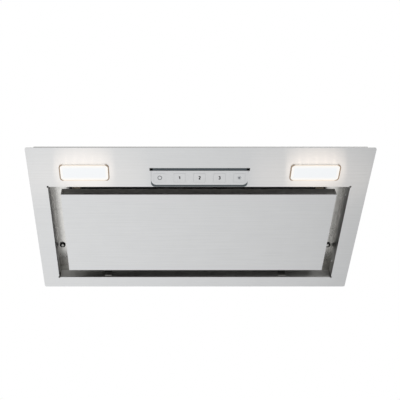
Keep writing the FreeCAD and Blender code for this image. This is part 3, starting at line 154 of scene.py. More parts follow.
@dataclass(frozen=True)
class BrushedSheet(Finish):
    """Rolled stainless or aluminium sheet, belt brushed across the hood's width."""

    light: str
    dark: str
    # Colour of upright faces, which is painted shade.
    painted_wall_shade: str
    smooth: float
    rough: float
    anisotropy: float
    line_length: float
    line_width: float
    cloud: float
    CLOUD_SHARE: ClassVar[float] = 0.4
    LINE_DEPTH: ClassVar[float] = 0.02
    WALL_TILT: ClassVar[float] = 0.3
    FACE_TILT: ClassVar[float] = 0.9
    # A little off the axis, so that walls that face along Y still have a tangent.
    ACROSS: ClassVar[dict[str, float]] = {"X": 0.02, "Y": 1.0, "Z": 0.015}

    def lay_out(self, tree: Tree, shader: Node) -> None:
        """Lay out long fine lines along X over broad faint clouds.

        Args:
            tree: The material's node tree.
            shader: The surface shader that the nodes feed.
        """
        # The eye sees satin metal whose reflections smear across the brushing, with faint long lines.
        # Real lines are about 0.1 mm wide, too fine to show, so they are drawn more than ten times coarser.
        # The folded walls and rims are painted a shade darker than the flat face: painted shade
        # for the walls that stand in the hood's dark recess.
        coords = add_node(tree, "TexCoord")
        along = add_node(tree, "Mapping", {
            "Vector": coords.outputs["Object"],
            "Scale": per_mm(self.line_length, self.line_width, self.line_width)})
        lines = add_node(tree, "TexNoise", {"Vector": along, "Scale": 1.0, "Detail": 3.0, "Roughness": 0.6})
        patch = add_node(tree, "Mapping", {"Vector": coords.outputs["Object"], "Scale": per_mm(self.cloud)})
        clouds = add_node(tree, "TexNoise", {"Vector": patch, "Scale": 1.0, "Detail": 2.0})
        blend = add_node(tree, "Mix", {
            FACTOR: self.CLOUD_SHARE, FLOAT_A: lines, FLOAT_B: clouds}, data_type="FLOAT")
        flat = add_node(tree, "Mix", {
            FACTOR: blend, COLOUR_A: linear(self.dark), COLOUR_B: linear(self.light)}, data_type="RGBA")
        # Upright faces take the painted wall shade; brushed is the share of the flat face's colour.
        facing = add_node(tree, "SeparateXYZ", {"Vector": coords.outputs["Normal"]})
        level = add_node(tree, "Math", {0: facing.outputs["Z"]}, operation="ABSOLUTE")
        brushed = add_node(tree, "MapRange", {
            "Value": level, "From Min": self.WALL_TILT, "From Max": self.FACE_TILT})
        tone = add_node(tree, "Mix", {
            FACTOR: brushed, COLOUR_A: linear(self.painted_wall_shade), COLOUR_B: flat}, data_type="RGBA")
        rough = add_node(tree, "MapRange", {
            "Value": blend, "From Min": NOISE_LOW, "From Max": NOISE_HIGH,
            "To Min": self.smooth, "To Max": self.rough})
        bump = add_node(tree, "Bump", {"Height": lines, "Strength": 0.08, "Distance": self.LINE_DEPTH * MM})
        across = add_node(tree, "CombineXYZ", self.ACROSS)
        feed(tree, shader, {
            "Metallic": 1.0, "Anisotropic": self.anisotropy, "Base Color": tone, "Roughness": rough,
            "Normal": bump, "Tangent": across})


@dataclass(frozen=True)
class ZincSheet(Finish):
    """Mild steel sheet, hot dip galvanised, with the spangle of the cooled zinc."""

    light: str
    dark: str
    spangle: float
    smooth: float
    rough: float
    BLOOM_SHARE: ClassVar[float] = 0.45
    BLOOM_DEPTH: ClassVar[float] = 0.05

    def lay_out(self, tree: Tree, shader: Node) -> None:
        """Lay out zinc crystals with a fine clouded bloom.

        Args:
            tree: The material's node tree.
            shader: The surface shader that the nodes feed.
        """
        # The eye sees dull grey metal in soft flakes, each a little lighter or darker than the next.
        where = add_node(tree, "TexCoord").outputs["Object"]
        size = add_node(tree, "Mapping", {"Vector": where, "Scale": per_mm(self.spangle)})
        flakes = add_node(tree, "TexVoronoi", {"Vector": size, "Scale": 1.0})
        bloom = add_node(tree, "TexNoise", {"Vector": size, "Scale": 2.5, "Detail": 4.0})
        grey = add_node(tree, "SeparateColor", {"Color": flakes.outputs["Color"]})
        blend = add_node(tree, "Mix", {
            FACTOR: self.BLOOM_SHARE, FLOAT_A: grey.outputs["Red"], FLOAT_B: bloom}, data_type="FLOAT")
        tone = add_node(tree, "Mix", {
            FACTOR: blend, COLOUR_A: linear(self.dark), COLOUR_B: linear(self.light)}, data_type="RGBA")
        rough = add_node(tree, "MapRange", {
            "Value": grey.outputs["Green"], "To Min": self.smooth, "To Max": self.rough})
        bump = add_node(tree, "Bump", {"Height": bloom, "Strength": 0.1, "Distance": self.BLOOM_DEPTH * MM})
        feed(tree, shader, {"Metallic": 1.0, "Base Color": tone, "Roughness": rough, "Normal": bump})


@dataclass(frozen=True)
class ZincSheetWithPaintedShade(ZincSheet):
    """Galvanised sheet with a dark patch of painted shade round its opening."""

    # Colour of the painted shade round the opening.
    coat: str
    painted_shade_roughness: float
    half_width: float
    half_depth: float
    middle: float
    feather: float

    def lay_out(self, tree: Tree, shader: Node) -> None:
        """Lay out the zinc, then the painted shade over it.

        Args:
            tree: The material's node tree.
            shader: The surface shader that the nodes feed.
        """
        # The eye sees bare zinc along the edges and a dull near-black patch of painted shade round the
        # opening.
        super().lay_out(tree, shader)
        where = add_node(tree, "TexCoord").outputs["Object"]
        spot = add_node(tree, "SeparateXYZ", {"Vector": where})
        spans = []
        for axis, middle, half in (("X", 0.0, self.half_width), ("Y", self.middle, self.half_depth)):
            off = add_node(tree, "Math", {0: spot.outputs[axis], 1: middle * MM}, operation="SUBTRACT")
            far = add_node(tree, "Math", {0: off}, operation="ABSOLUTE")
            spans.append(add_node(tree, "MapRange", {
                "Value": far, "From Min": (half - self.feather) * MM, "From Max": half * MM,
                "To Min": 1.0, "To Max": 0.0}))
        # Mask of the painted shade: 1 over the opening, falling to 0 towards the bare edges.
        painted_shade_mask = add_node(tree, "Math", {0: spans[0], 1: spans[1]}, operation="MULTIPLY")
        zinc = shader.inputs["Base Color"].links[0].from_socket
        gloss = shader.inputs["Roughness"].links[0].from_socket
        tone = add_node(tree, "Mix", {
            FACTOR: painted_shade_mask, COLOUR_A: zinc, COLOUR_B: linear(self.coat)}, data_type="RGBA")
        rough = add_node(tree, "Mix", {
            FACTOR: painted_shade_mask, FLOAT_A: gloss, FLOAT_B: self.painted_shade_roughness}, data_type="FLOAT")
        bare = add_node(tree, "MapRange", {"Value": painted_shade_mask, "To Min": 1.0, "To Max": 0.0})
        feed(tree, shader, {"Base Color": tone, "Roughness": rough, "Metallic": bare})


@dataclass(frozen=True)
class MetalPart(Finish):
    """A small metal part, turned, drawn or stamped and then plated or left bare."""

    light: str
    dark: str
    smooth: float
    rough: float
    grain: float

    def lay_out(self, tree: Tree, shader: Node) -> None:
        """Lay out a fine uneven grain.

        Args:
            tree: The material's node tree.
            shader: The surface shader that the nodes feed.
        """
        # The eye sees small bright metal whose gloss breaks up where tools and handling touched it.
        where = add_node(tree, "TexCoord").outputs["Object"]
        size = add_node(tree, "Mapping", {"Vector": where, "Scale": per_mm(self.grain)})
        grain = add_node(tree, "TexNoise", {"Vector": size, "Scale": 1.0, "Detail": 4.0, "Roughness": 0.6})
        tone = add_node(tree, "Mix", {
            FACTOR: grain, COLOUR_A: linear(self.dark), COLOUR_B: linear(self.light)}, data_type="RGBA")
        rough = add_node(tree, "MapRange", {
            "Value": grain, "From Min": NOISE_LOW, "From Max": NOISE_HIGH,
            "To Min": self.smooth, "To Max": self.rough})
        feed(tree, shader, {"Metallic": 1.0, "Base Color": tone, "Roughness": rough})


@dataclass(frozen=True)
class MouldedPart(Finish):
    """A moulded, pressed or painted part with a fine surface grain."""

    light: str
    dark: str
    roughness: float
    ior: float
    grain: float
    depth: float
    coat: float = 0.0
    SPREAD: ClassVar[float] = 0.1

    def lay_out(self, tree: Tree, shader: Node) -> None:
        """Lay out the grain of the tool, or of the paint.

        Args:
            tree: The material's node tree.
            shader: The surface shader that the nodes feed.
        """
        # The eye sees an even colour with a soft sheen that a fine grain keeps from being a mirror.
        where = add_node(tree, "TexCoord").outputs["Object"]
        size = add_node(tree, "Mapping", {"Vector": where, "Scale": per_mm(self.grain)})
        grain = add_node(tree, "TexNoise", {"Vector": size, "Scale": 1.0, "Detail": 3.0})
        tone = add_node(tree, "Mix", {
            FACTOR: grain, COLOUR_A: linear(self.dark), COLOUR_B: linear(self.light)}, data_type="RGBA")
        rough = add_node(tree, "MapRange", {
            "Value": grain, "From Min": NOISE_LOW, "From Max": NOISE_HIGH,
            "To Min": (1 - self.SPREAD) * self.roughness,
            "To Max": min(1.0, (1 + self.SPREAD) * self.roughness)})
        bump = add_node(tree, "Bump", {"Height": grain, "Strength": 0.25, "Distance": self.depth * MM})
        feed(tree, shader, {
            "IOR": self.ior, "Coat Weight": self.coat, "Base Color": tone,
            "Roughness": rough, "Normal": bump})


@dataclass(frozen=True)
class SilverLacquer(Finish):
    """Moulded ABS, sprayed with a silver lacquer that matches the brushed sheet."""

    light: str
    dark: str
    roughness: float
    flake: float
    metallic: float
    SPREAD: ClassVar[float] = 0.08

    def lay_out(self, tree: Tree, shader: Node) -> None:
        """Lay out metal flakes in a satin lacquer.

        Args:
            tree: The material's node tree.
            shader: The surface shader that the nodes feed.
        """
        # The eye sees a pale silver a shade softer than the steel, with no brushing.
        # Real flakes are about 0.03 mm, too fine to show, so they are drawn ten times coarser.
        where = add_node(tree, "TexCoord").outputs["Object"]
        size = add_node(tree, "Mapping", {"Vector": where, "Scale": per_mm(self.flake)})
        flakes = add_node(tree, "TexVoronoi", {"Vector": size, "Scale": 1.0})
        grey = add_node(tree, "SeparateColor", {"Color": flakes.outputs["Color"]})
        tone = add_node(tree, "Mix", {
            FACTOR: grey.outputs["Red"], COLOUR_A: linear(self.dark), COLOUR_B: linear(self.light)},
            data_type="RGBA")
        rough = add_node(tree, "MapRange", {
            "Value": grey.outputs["Green"], "To Min": (1 - self.SPREAD) * self.roughness,
            "To Max": (1 + self.SPREAD) * self.roughness})
        feed(tree, shader, {"Metallic": self.metallic, "Base Color": tone, "Roughness": rough})


@dataclass(frozen=True)
class OpalDiffuser(Finish):
    """Opal acrylic, moulded, lit from behind by a row of diodes."""

    body: str
    glow: str
    rim: str
    width: float
    depth: float
    strength: float
    rim_gain: float
    rim_width: float
    CLOUD: ClassVar[tuple[float, float, float]] = (13, 26, 26)
    NARROW: ClassVar[float] = 0.8
    WIDE: ClassVar[float] = 1.2
    CORE: ClassVar[float] = 0.25

    def lay_out(self, tree: Tree, shader: Node) -> None:
        """Lay out an even glow with a warmer and brighter border.

        Args:
            tree: The material's node tree.
            shader: The surface shader that the nodes feed.
        """
        # The eye sees a milky white pane with no hot spots, a little brighter and warmer where its
        # edge bends.
        coords = add_node(tree, "TexCoord")
        span = add_node(tree, "SeparateXYZ", {"Vector": coords.outputs["Generated"]})
        sides = []
        for axis, length in (("X", self.width), ("Y", self.depth)):
            # The way in from the nearer edge, in millimetres.
            inset = add_node(tree, "Math", {0: span.outputs[axis], 1: HALF}, operation="PINGPONG")
            sides.append(add_node(tree, "Math", {0: inset, 1: length}, operation="MULTIPLY"))
        near = add_node(tree, "Math", {0: sides[0], 1: sides[1]}, operation="MINIMUM")
        size = add_node(tree, "Mapping", {"Vector": coords.outputs["Object"], "Scale": per_mm(*self.CLOUD)})
        cloud = add_node(tree, "TexNoise", {"Vector": size, "Scale": 1.0, "Detail": 1.0})
        reach = add_node(tree, "MapRange", {
            "Value": cloud, "To Min": self.NARROW * self.rim_width, "To Max": self.WIDE * self.rim_width})
        edge = add_node(tree, "MapRange", {
            "Value": near, "From Min": reach, "From Max": self.CORE * self.rim_width},
            interpolation_type="SMOOTHSTEP")
        tone = add_node(tree, "Mix", {
            FACTOR: edge, COLOUR_A: linear(self.glow), COLOUR_B: linear(self.rim)}, data_type="RGBA")
        gain = add_node(tree, "MapRange", {
            "Value": edge, "To Min": self.strength, "To Max": self.strength * self.rim_gain})
        feed(tree, shader, {
            "Base Color": linear(self.body), "Roughness": 0.35, "IOR": 1.49,
            "Emission Color": tone, "Emission Strength": gain})


@dataclass(frozen=True)
class FrameWithPaintedGlow(Finish):
    """Smoked polycarbonate, moulded, with a painted glow of the lens's light in its long sides."""

    # Colour of the painted glow on the long sides.
    lit: str
    unlit: str
    roughness: float
    ior: float
    strength: float
    MOTTLE: ClassVar[float] = 4
    END: ClassVar[float] = 0.04
    PAINTED_GLOW_START: ClassVar[float] = 0.08
    PAINTED_GLOW_END: ClassVar[float] = 0.12

    def lay_out(self, tree: Tree, shader: Node) -> None:
        """Lay out long sides with a painted glow and short ends that stay brown.

        Args:
            tree: The material's node tree.
            shader: The surface shader that the nodes feed.
        """
        # The eye sees a brown line at the ends and round the corners, which a painted glow, lighter
        # and emissive, washes out along the long sides.
        coords = add_node(tree, "TexCoord")
        span = add_node(tree, "SeparateXYZ", {"Vector": coords.outputs["Generated"]})
        inset = add_node(tree, "Math", {0: span.outputs["X"], 1: HALF}, operation="PINGPONG")
        size = add_node(tree, "Mapping", {"Vector": coords.outputs["Object"], "Scale": per_mm(self.MOTTLE)})
        cloud = add_node(tree, "TexNoise", {"Vector": size, "Scale": 1.0, "Detail": 2.0})
        reach = add_node(tree, "MapRange", {
            "Value": cloud, "To Min": self.PAINTED_GLOW_START, "To Max": self.PAINTED_GLOW_END})
        # The long sides take a painted glow: a lighter colour that also emits, for the lens's light on the
        # frame.
        painted_glow_share = add_node(tree, "MapRange", {
            "Value": inset, "From Min": self.END, "From Max": reach}, interpolation_type="SMOOTHSTEP")
        tone = add_node(tree, "Mix", {
            FACTOR: painted_glow_share, COLOUR_A: linear(self.unlit), COLOUR_B: linear(self.lit)}, data_type="RGBA")
        glow = add_node(tree, "MapRange", {"Value": painted_glow_share, "To Max": self.strength})
        feed(tree, shader, {
            "Roughness": self.roughness, "IOR": self.ior, "Base Color": tone,
            "Emission Color": tone, "Emission Strength": glow})


@dataclass(frozen=True)
class CircuitBoard(Finish):
    """Glass epoxy board under solder mask, with etched copper tracks."""

    mask: str
    track: str
    pitch: float
    TRACK_START: ClassVar[float] = 0.45
    TRACK_END: ClassVar[float] = 0.55

    def lay_out(self, tree: Tree, shader: Node) -> None:
        """Lay out tracks as steps of a cell pattern.

        Args:
            tree: The material's node tree.
            shader: The surface shader that the nodes feed.
        """
        # The eye sees glossy green with slightly lighter lines where copper runs under the mask.
        where = add_node(tree, "TexCoord").outputs["Object"]
        size = add_node(tree, "Mapping", {"Vector": where, "Scale": per_mm(self.pitch)})
        runs = add_node(tree, "TexVoronoi", {
            "Vector": size, "Scale": 1.0}, distance="MANHATTAN", feature="F1")
        line = add_node(tree, "MapRange", {
            "Value": runs, "From Min": self.TRACK_START, "From Max": self.TRACK_END})
        tone = add_node(tree, "Mix", {
            FACTOR: line, COLOUR_A: linear(self.mask), COLOUR_B: linear(self.track)}, data_type="RGBA")
        feed(tree, shader, {"Roughness": 0.3, "IOR": 1.55, "Base Color": tone})


class Finishes(Enum):
    """The hood's finishes, by their record slot. Lengths are in millimetres."""

    # The wall colour of a brushed sheet is painted shade.
    BRUSHED_STAINLESS = BrushedSheet(
        "stainless_steel_brushed", "#F3F4F5", "#DADBDC", painted_wall_shade="#BABAB9", smooth=0.31, rough=0.37,
        anisotropy=1.0, line_length=90, line_width=1.8, cloud=45)
    GALVANISED_STEEL = ZincSheet(
        "mild_steel_galvanised", "#A9A8A5", "#8C8A87", spangle=7.0, smooth=0.3, rough=0.42)
    # The filter deck: a near-white copy of the galvanised steel, painted light for the lit ledges, with
    # painted shade round the opening.
    GALVANISED_BRIGHT = ZincSheetWithPaintedShade(
        "mild_steel_galvanised_painted_light_and_shade", "#F6F5F2", "#EEEDEA", spangle=3.0, smooth=0.27, rough=0.33,
        coat="#23221F", painted_shade_roughness=0.7, half_width=208, half_depth=67, middle=17, feather=3)
    PASSIVATED_STEEL = MetalPart(
        "steel_zinc_yellow_passivated", "#DDD3C2", "#CEC4B3", smooth=0.45, rough=0.55, grain=2.0)
    PHOSPHATED_STEEL = MetalPart(
        "steel_phosphated", "#A3A29F", "#8E8D8A", smooth=0.4, rough=0.5, grain=1.5)
    PLATED_FASTENERS = MetalPart(
        "steel_zinc_plated", "#D8D8D4", "#B9BABA", smooth=0.14, rough=0.26, grain=0.8)
    SPRING_STEEL = MetalPart(
        "spring_steel_hardened", "#85888D", "#6A6D72", smooth=0.28, rough=0.4, grain=3.0)
    # Its wall colour is painted shade too.
    FILTER_ALUMINIUM = BrushedSheet(
        "aluminium_rolled", "#D3D5D7", "#BFC2C5", painted_wall_shade="#B8BABC", smooth=0.32, rough=0.42,
        anisotropy=0.4, line_length=20, line_width=1.2, cloud=25)
    SILVER_PLASTIC = SilverLacquer(
        "abs_silver_lacquered", "#DEDFE0", "#D5D6D8", roughness=0.34, flake=0.3, metallic=0.85)
    DARK_BASE_PLASTIC = MouldedPart(
        "abs_moulded_blue_grey", "#596166", "#525A5F", roughness=0.42, ior=1.3, grain=0.6, depth=0.002)
    # The bezel's lit colour and its faint emission are painted glow.
    BEZEL_PLASTIC = FrameWithPaintedGlow(
        "polycarbonate_smoked", lit="#E9E2D9", unlit="#917D68", roughness=0.3, ior=1.58, strength=0.03)
    OPAL_LENS = OpalDiffuser(
        "acrylic_opal_lit", body="#8A8C8E", glow="#F6F8FA", rim="#FFFBF5", width=72.1, depth=25.5,
        strength=0.74, rim_gain=1.05, rim_width=5.0)
    WHITE_PLASTIC = MouldedPart(
        "polycarbonate_white_moulded", "#DEDEDA", "#D2D2CE", roughness=0.42, ior=1.58, grain=0.7, depth=0.01)
    BLACK_PLASTIC = MouldedPart(
        "polypropylene_black_moulded", "#2C2C2D", "#232324", roughness=0.5, ior=1.49, grain=0.7, depth=0.02)
    GREY_PLASTIC = MouldedPart(
        "polypropylene_grey_moulded", "#57585A", "#4B4C4E", roughness=0.46, ior=1.49, grain=0.7, depth=0.02)
    CIRCUIT_BOARD = CircuitBoard("glass_epoxy_solder_masked", mask="#1B5A34", track="#2F7A4A", pitch=2.2)
    BLACK_RUBBER = MouldedPart(
        "epdm_rubber_moulded", "#262627", "#1D1D1E", roughness=0.72, ior=1.52, grain=0.9, depth=0.03)
    DAMPING_FELT = MouldedPart(
        "bitumen_felt_rolled", "#3A3937", "#2A2928", roughness=0.9, ior=1.5, grain=1.1, depth=0.15)
    MAGNET_FERRITE = MouldedPart(
        "ferrite_sintered", "#3B3B3D", "#2E2E30", roughness=0.6, ior=1.6, grain=0.5, depth=0.02)
    MOTOR_STEEL = MouldedPart(
        "steel_painted_grey", "#5F6266", "#54575A", roughness=0.36, ior=1.5, grain=1.4, depth=0.03, coat=0.2)
    CAPACITOR_CASE = MetalPart(
        "aluminium_drawn", "#DCDDDE", "#C8C9CB", smooth=0.24, rough=0.34, grain=2.0)
    DARK_INK = MouldedPart(
        "screen_ink_dark", "#101012", "#0B0B0D", roughness=0.6, ior=1.5, grain=0.3, depth=0.002)
    MID_INK = MouldedPart(
        "screen_ink_slate", "#63666A", "#595C60", roughness=0.6, ior=1.5, grain=0.3, depth=0.002)
    GREY_INK = MouldedPart(
        "screen_ink_grey", "#7E8185", "#74777B", roughness=0.6, ior=1.5, grain=0.3, depth=0.002)

    @property
    def slot(self) -> str:
        """Name the record slot that this finish belongs to.

        Returns:
            The slot.
        """
        shared = {
            "DARK_INK": "black_plastic", "MID_INK": "grey_plastic", "GREY_INK": "grey_plastic",
            "GALVANISED_BRIGHT": "galvanised_steel", "PASSIVATED_STEEL": "galvanised_steel",
            "PHOSPHATED_STEEL": "galvanised_steel",
        }
        return shared.get(self.name, self.name.lower())


Coats = dict[Finishes, Iterable[str]]


def place(name: str, data: bpy.types.ID) -> bpy.types.Object:
    """Put a mesh, curve, light or camera into the scene.

    Args:
        name: The new object's name.
        data: What it shows.
    Returns:
        The new object.
    """
    item = bpy.data.objects.new(name, data)
    bpy.context.scene.collection.objects.link(item)
    return item


def mesh_of(name: str, shape: Shape) -> bpy.types.Mesh:
    """Turn a shape into a mesh and free the shape.

    Args:
        name: The mesh's name.
        shape: The shape.
    Returns:
        The mesh.
    """
    mesh = bpy.data.meshes.new(name)
    shape.to_mesh(mesh)
    shape.free()
    return mesh


def solid_mesh(name: str, shape: Shape, finish: Finishes, body: str) -> bpy.types.Object:
    """Turn a finished shape into a piece that rides on a body.

    Args:
        name: The piece's name.
        shape: The shape, in the hood's frame, which is freed.
        finish: The finish it is dressed in.
        body: The body that carries it.
    Returns:
        The new piece.
    """
    bmesh.ops.recalc_face_normals(shape, faces=shape.faces)
    piece = place(name, mesh_of(name, shape))
    piece.data.materials.append(finish.value.material())
    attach(piece, body)
    LOG.info("made %s on %s", name, body)
    return piece


def evaluated_shape(piece: bpy.types.Object) -> Shape:
    """Read a piece's final mesh and take the piece away.

    Args:
        piece: A curve or a mesh with modifiers.
    Returns:
        Its shape in the hood's frame.
    """
    graph = bpy.context.evaluated_depsgraph_get()
    mesh = bpy.data.meshes.new_from_object(piece.evaluated_get(graph))
    shape = bmesh.new()
    shape.from_mesh(mesh)
    shape.transform(piece.matrix_world)
    bpy.data.meshes.remove(mesh)
    bpy.data.objects.remove(piece)
    return shape


def lathe(shape: Shape, profile: Sequence[tuple[float, float]], steps: int) -> None:
    """Turn a profile about Z into a closed solid.

    Args:
        shape: The shape that takes the faces.
        profile: Radius and height of each point, from pole to pole.
        steps: Facets round the axis.
    """
    turns = [2 * math.pi * step / steps for step in range(steps)]
    rings = []
    for radius, height in profile:
        if radius == 0:
            rings.append([shape.verts.new((0, 0, height))])
        else:
            rings.append([shape.verts.new((radius * math.cos(turn), radius * math.sin(turn), height))
                          for turn in turns])
    for low, high in zip(rings, rings[1:]):
        for step in range(steps):
            after = (step + 1) % steps
            loop = [low[step % len(low)], low[after % len(low)],
                    high[after % len(high)], high[step % len(high)]]
            shape.faces.new(list(dict.fromkeys(loop)))


def corners(points: Sequence[Vector]) -> tuple[Vector, Vector]:
    """Find the box round some points.

    Args:
        points: The points.
    Returns:
        The box's lowest and highest corners.
    """
    low = Vector(min(point[axis] for point in points) for axis in range(3))
    high = Vector(max(point[axis] for point in points) for axis in range(3))
    return low, high


def centre(points: Sequence[Vector]) -> tuple[float, ...]:
    """Give the mean of some points to a tenth of a millimetre, to sort by."""
    return tuple(round(sum(point[axis] for point in points) / len(points), 4) for axis in range(3))


def islands(node: str) -> list[list[Vector]]:
    """Find the separate solids of a node.

    Args:
        node: The node's name.
    Returns:
        The points of each solid.
    """
    shape = bmesh.new()
    shape.from_mesh(frame["nodes"][node].data)
    bmesh.ops.remove_doubles(shape, verts=shape.verts, dist=WELD * MM)
    left = set(shape.verts)
    found = []
    while left:
        group, edge = set(), [left.pop()]
        while edge:
            vert = edge.pop()
            group.add(vert)
            for link in vert.link_edges:
                other = link.other_vert(vert)
                if other in left:
                    left.remove(other)
                    edge.append(other)
        found.append([vert.co.copy() for vert in group])
    shape.free()
    return sorted(found, key=centre)


class SubAssembly:
    """Pieces of the hood that are made and dressed together."""

    WEAR: ClassVar[Coats] = {}

    def coats(self) -> Coats:
        """Give the nodes that wear each finish."""
        return self.WEAR

    def build(self) -> None:
        """Make the pieces that the frame leaves to the scene."""

    def dress(self) -> None:
        """Put each finish on its nodes."""
        for finish, names in self.coats().items():
            for name in names:
                mesh = frame["nodes"][name].data
                mesh.materials.clear()
                mesh.materials.append(finish.value.material())
                LOG.info("dressed %s in %s", name, finish.value.name)


@dataclass
class PanHeadScrews(SubAssembly):
    """Pan head screws with a cross recess in place of plain ones. Sizes are shares of the plain screw's."""

    node: str
    body: str = "hood"
    facets: int = 32
    dome: float = 0.45
    crown_steps: int = 6
    rim_start: float = 0.3
    under_edge: float = 0.96
    tip_taper: float = 0.5
    tip_length: float = 0.3
    recess_span: float = 0.62
    recess_width: float = 0.16
    recess_depth: float = 0.55
    head_share: float = 0.98
    shank_least: float = 0.2
    shank_most: float = 0.9

    def coats(self) -> Coats:
        """Dress the plain node, which stays hidden."""
        return {Finishes.PLATED_FASTENERS: [self.node]}

    def head(self, radius: float, height: float, shank: float, length: float) -> Shape:
        """Shape one screw along Z, with the underside of its head at height 0.

        Args:
            radius: Radius of the head.
            height: Height of the head.
            shank: Radius of the shank.
            length: Length of the shank.
        Returns:
            The shape of the screw.
        """
        rim = height * (1 - self.dome)
        turns = [math.pi / 2 * step / self.crown_steps for step in range(self.crown_steps)]
        crown = [(radius * math.cos(turn), rim + (height - rim) * math.sin(turn)) for turn in turns]
        tip = min(shank * self.tip_taper, length * self.tip_length)
        profile = [(0, -length), (shank - tip, -length), (shank, tip - length), (shank, 0),
                   (radius * self.under_edge, 0), (radius, rim * self.rim_start), *crown, (0, height)]
        blank = bmesh.new()
        lathe(blank, profile, self.facets)
        cross = bmesh.new()
        arm = (2 * radius * self.recess_span, 2 * radius * self.recess_width,
               2 * height * self.recess_depth, 1)
        for turn in (0, math.pi / 2):
            spread = Matrix.Rotation(turn, 4, "Z") @ Matrix.Diagonal(arm)
            bmesh.ops.create_cube(cross, size=1, matrix=Matrix.Translation((0, 0, height)) @ spread)
        pieces = []
        for label, shape in (("blank", blank), ("cross", cross)):
            bmesh.ops.recalc_face_normals(shape, faces=shape.faces)
            pieces.append(place(label, mesh_of(label, shape)))
        sink = pieces[0].modifiers.new("recess", "BOOLEAN")
        sink.object = pieces[1]
        sink.solver = "EXACT"
        sink.use_self = True
        made = evaluated_shape(pieces[0])
        bpy.data.objects.remove(pieces[1])
        return made

    def build(self) -> None:
        """Make one piece of all the node's screws."""
        whole = bmesh.new()
        for points in islands(self.node):
            low, high = corners(points)
            span, middle = high - low, (low + high) / 2
            axis = max(range(3), key=lambda i: min(abs(span[i] - span[j]) for j in range(3) if j != i))
            reach = [math.hypot(*(p[i] - middle[i] for i in range(3) if i != axis)) for p in points]
            radius = max(reach)
            wide = [p[axis] for p, far in zip(points, reach) if far > self.head_share * radius]
            slim = max(far for far in reach if self.shank_least * radius < far < self.shank_most * radius)
            up = 1 if sum(wide) / len(wide) > middle[axis] else -1
            seat, crown = (min(wide), high[axis]) if up > 0 else (max(wide), low[axis])
            tail = low[axis] if up > 0 else high[axis]
            made = self.head(radius, abs(crown - seat), slim, abs(seat - tail))
            way = Vector(up if i == axis else 0 for i in range(3))
            spot = middle.copy()
            spot[axis] = seat
            made.transform(Matrix.Translation(spot) @ way.to_track_quat("Z", "Y").to_matrix().to_4x4())
            mesh = mesh_of("one_screw", made)
            whole.from_mesh(mesh)
            bpy.data.meshes.remove(mesh)
        piece = solid_mesh(self.node + "_recessed", whole, Finishes.PLATED_FASTENERS, self.body)
        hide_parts(self.node)


class FacePlate(SubAssembly):
    """The brushed plate and the seal that presses on the cupboard."""

    WEAR: ClassVar[Coats] = {Finishes.BRUSHED_STAINLESS: ["face_plate"], Finishes.BLACK_RUBBER: ["rim_seal"]}


class SuctionPanel(SubAssembly):
    """The tray that hangs in the opening, its hinges and its catches."""

    WEAR: ClassVar[Coats] = {
        Finishes.BRUSHED_STAINLESS: ["suction_panel"],
        Finishes.DAMPING_FELT: ["panel_mat"],
        Finishes.PHOSPHATED_STEEL: ["hinge_lugs", "hinge_straps"],
        Finishes.PASSIVATED_STEEL: ["strike_plates"],
        Finishes.PLATED_FASTENERS: ["hinge_pins"],
        Finishes.MAGNET_FERRITE: ["catch_magnets"],
    }


@dataclass(frozen=True)
class Throw:
    """Light that a lamp throws: watts, then size, drop below the lens and way forward in millimetres."""

    power: float
    size: tuple[float, float]
    drop: float
    forward: float


@dataclass
class Lamp(SubAssembly):
    """One lamp: bezel, lit lens, housing and diode board, with the light that it throws on the plate."""

    side: str
    gain: float
    diodes: int = 5
    pitch: float = 13.0
    glow: Throw = Throw(power=0.0066, size=(96, 64), drop=34, forward=15)
    halo: Throw = Throw(power=0.0062, size=(210, 70), drop=55, forward=6)
    glint: Throw = Throw(power=0.00003, size=(1.5, 6.0), drop=18, forward=22)
    warm: str = "#FFEBD8"

    def coats(self) -> Coats:
        """Give the nodes that wear each finish.

        Returns:
            Names of nodes by finish.
        """
        return {
            Finishes.BEZEL_PLASTIC: [f"lamp_bezel_{self.side}"],
            Finishes.OPAL_LENS: [f"lamp_lens_{self.side}"],
            Finishes.WHITE_PLASTIC: [f"lamp_housing_{self.side}"],
            Finishes.CIRCUIT_BOARD: [f"lamp_board_{self.side}"],
        }

    def middle(self) -> Vector:
        """Find the middle of the lens's lower face.

        Returns:
            The point, in metres.
        """
        low, high = corners([vert.co for vert in frame["nodes"][f"lamp_lens_{self.side}"].data.vertices])
        return Vector(((low.x + high.x) / 2, (low.y + high.y) / 2, low.z))

    def shine(self, name: str, throw: Throw, spot: Vector, receivers: bpy.types.Collection) -> None:
        """Hang a light under the plate whose mirror image stands at a spot, on the plate and bezel only.

        Args:
            name: The light's name.
            throw: Its power, size and place.
            spot: The spot on the lens, in metres.
            receivers: What it lights.
        """
        light = bpy.data.lights.new(name, "AREA")
        light.shape = "ELLIPSE"
        light.size, light.size_y = (length * MM for length in throw.size)
        light.energy = throw.power * self.gain
        light.color = linear(self.warm)[:3]
        lamp = place(name, light)
        sight = spot - Vector(Studio.stand)
        lean = Vector((sight.x / sight.z, sight.y / sight.z, -1))
        lamp.location = spot + (lean * throw.drop - Vector((0, throw.forward, 0))) * MM
        lamp.rotation_euler = (math.pi, 0, 0)
        lamp.visible_camera = False
        lamp.light_linking.receiver_collection = receivers

    def build(self) -> None:
        """Throw the lamp's soft glow and its diodes' streaks on the plate."""
        receivers = bpy.data.collections.new(f"lit_by_lamp_{self.side}")
        for name in ("face_plate", f"lamp_bezel_{self.side}"):
            receivers.objects.link(frame["nodes"][name])
        middle = self.middle()
        self.shine(f"glow_{self.side}", self.glow, middle, receivers)
        self.shine(f"halo_{self.side}", self.halo, middle, receivers)
        for step in range(self.diodes):
            along = (step - (self.diodes - 1) / 2) * self.pitch
            spot = middle + Vector((along * MM, 0, 0))
            self.shine(f"glint_{self.side}_{step}", self.glint, spot, receivers)


class LampStraps(SubAssembly):
    """The sheet straps that hold both lamp housings down."""

    WEAR: ClassVar[Coats] = {Finishes.GALVANISED_STEEL: ["lamp_straps"]}


@dataclass
class KeyMark:
    """The printed mark of one key."""

    joint: str
    label: str
    finish: Finishes
    draw: Callable[[], Shape]


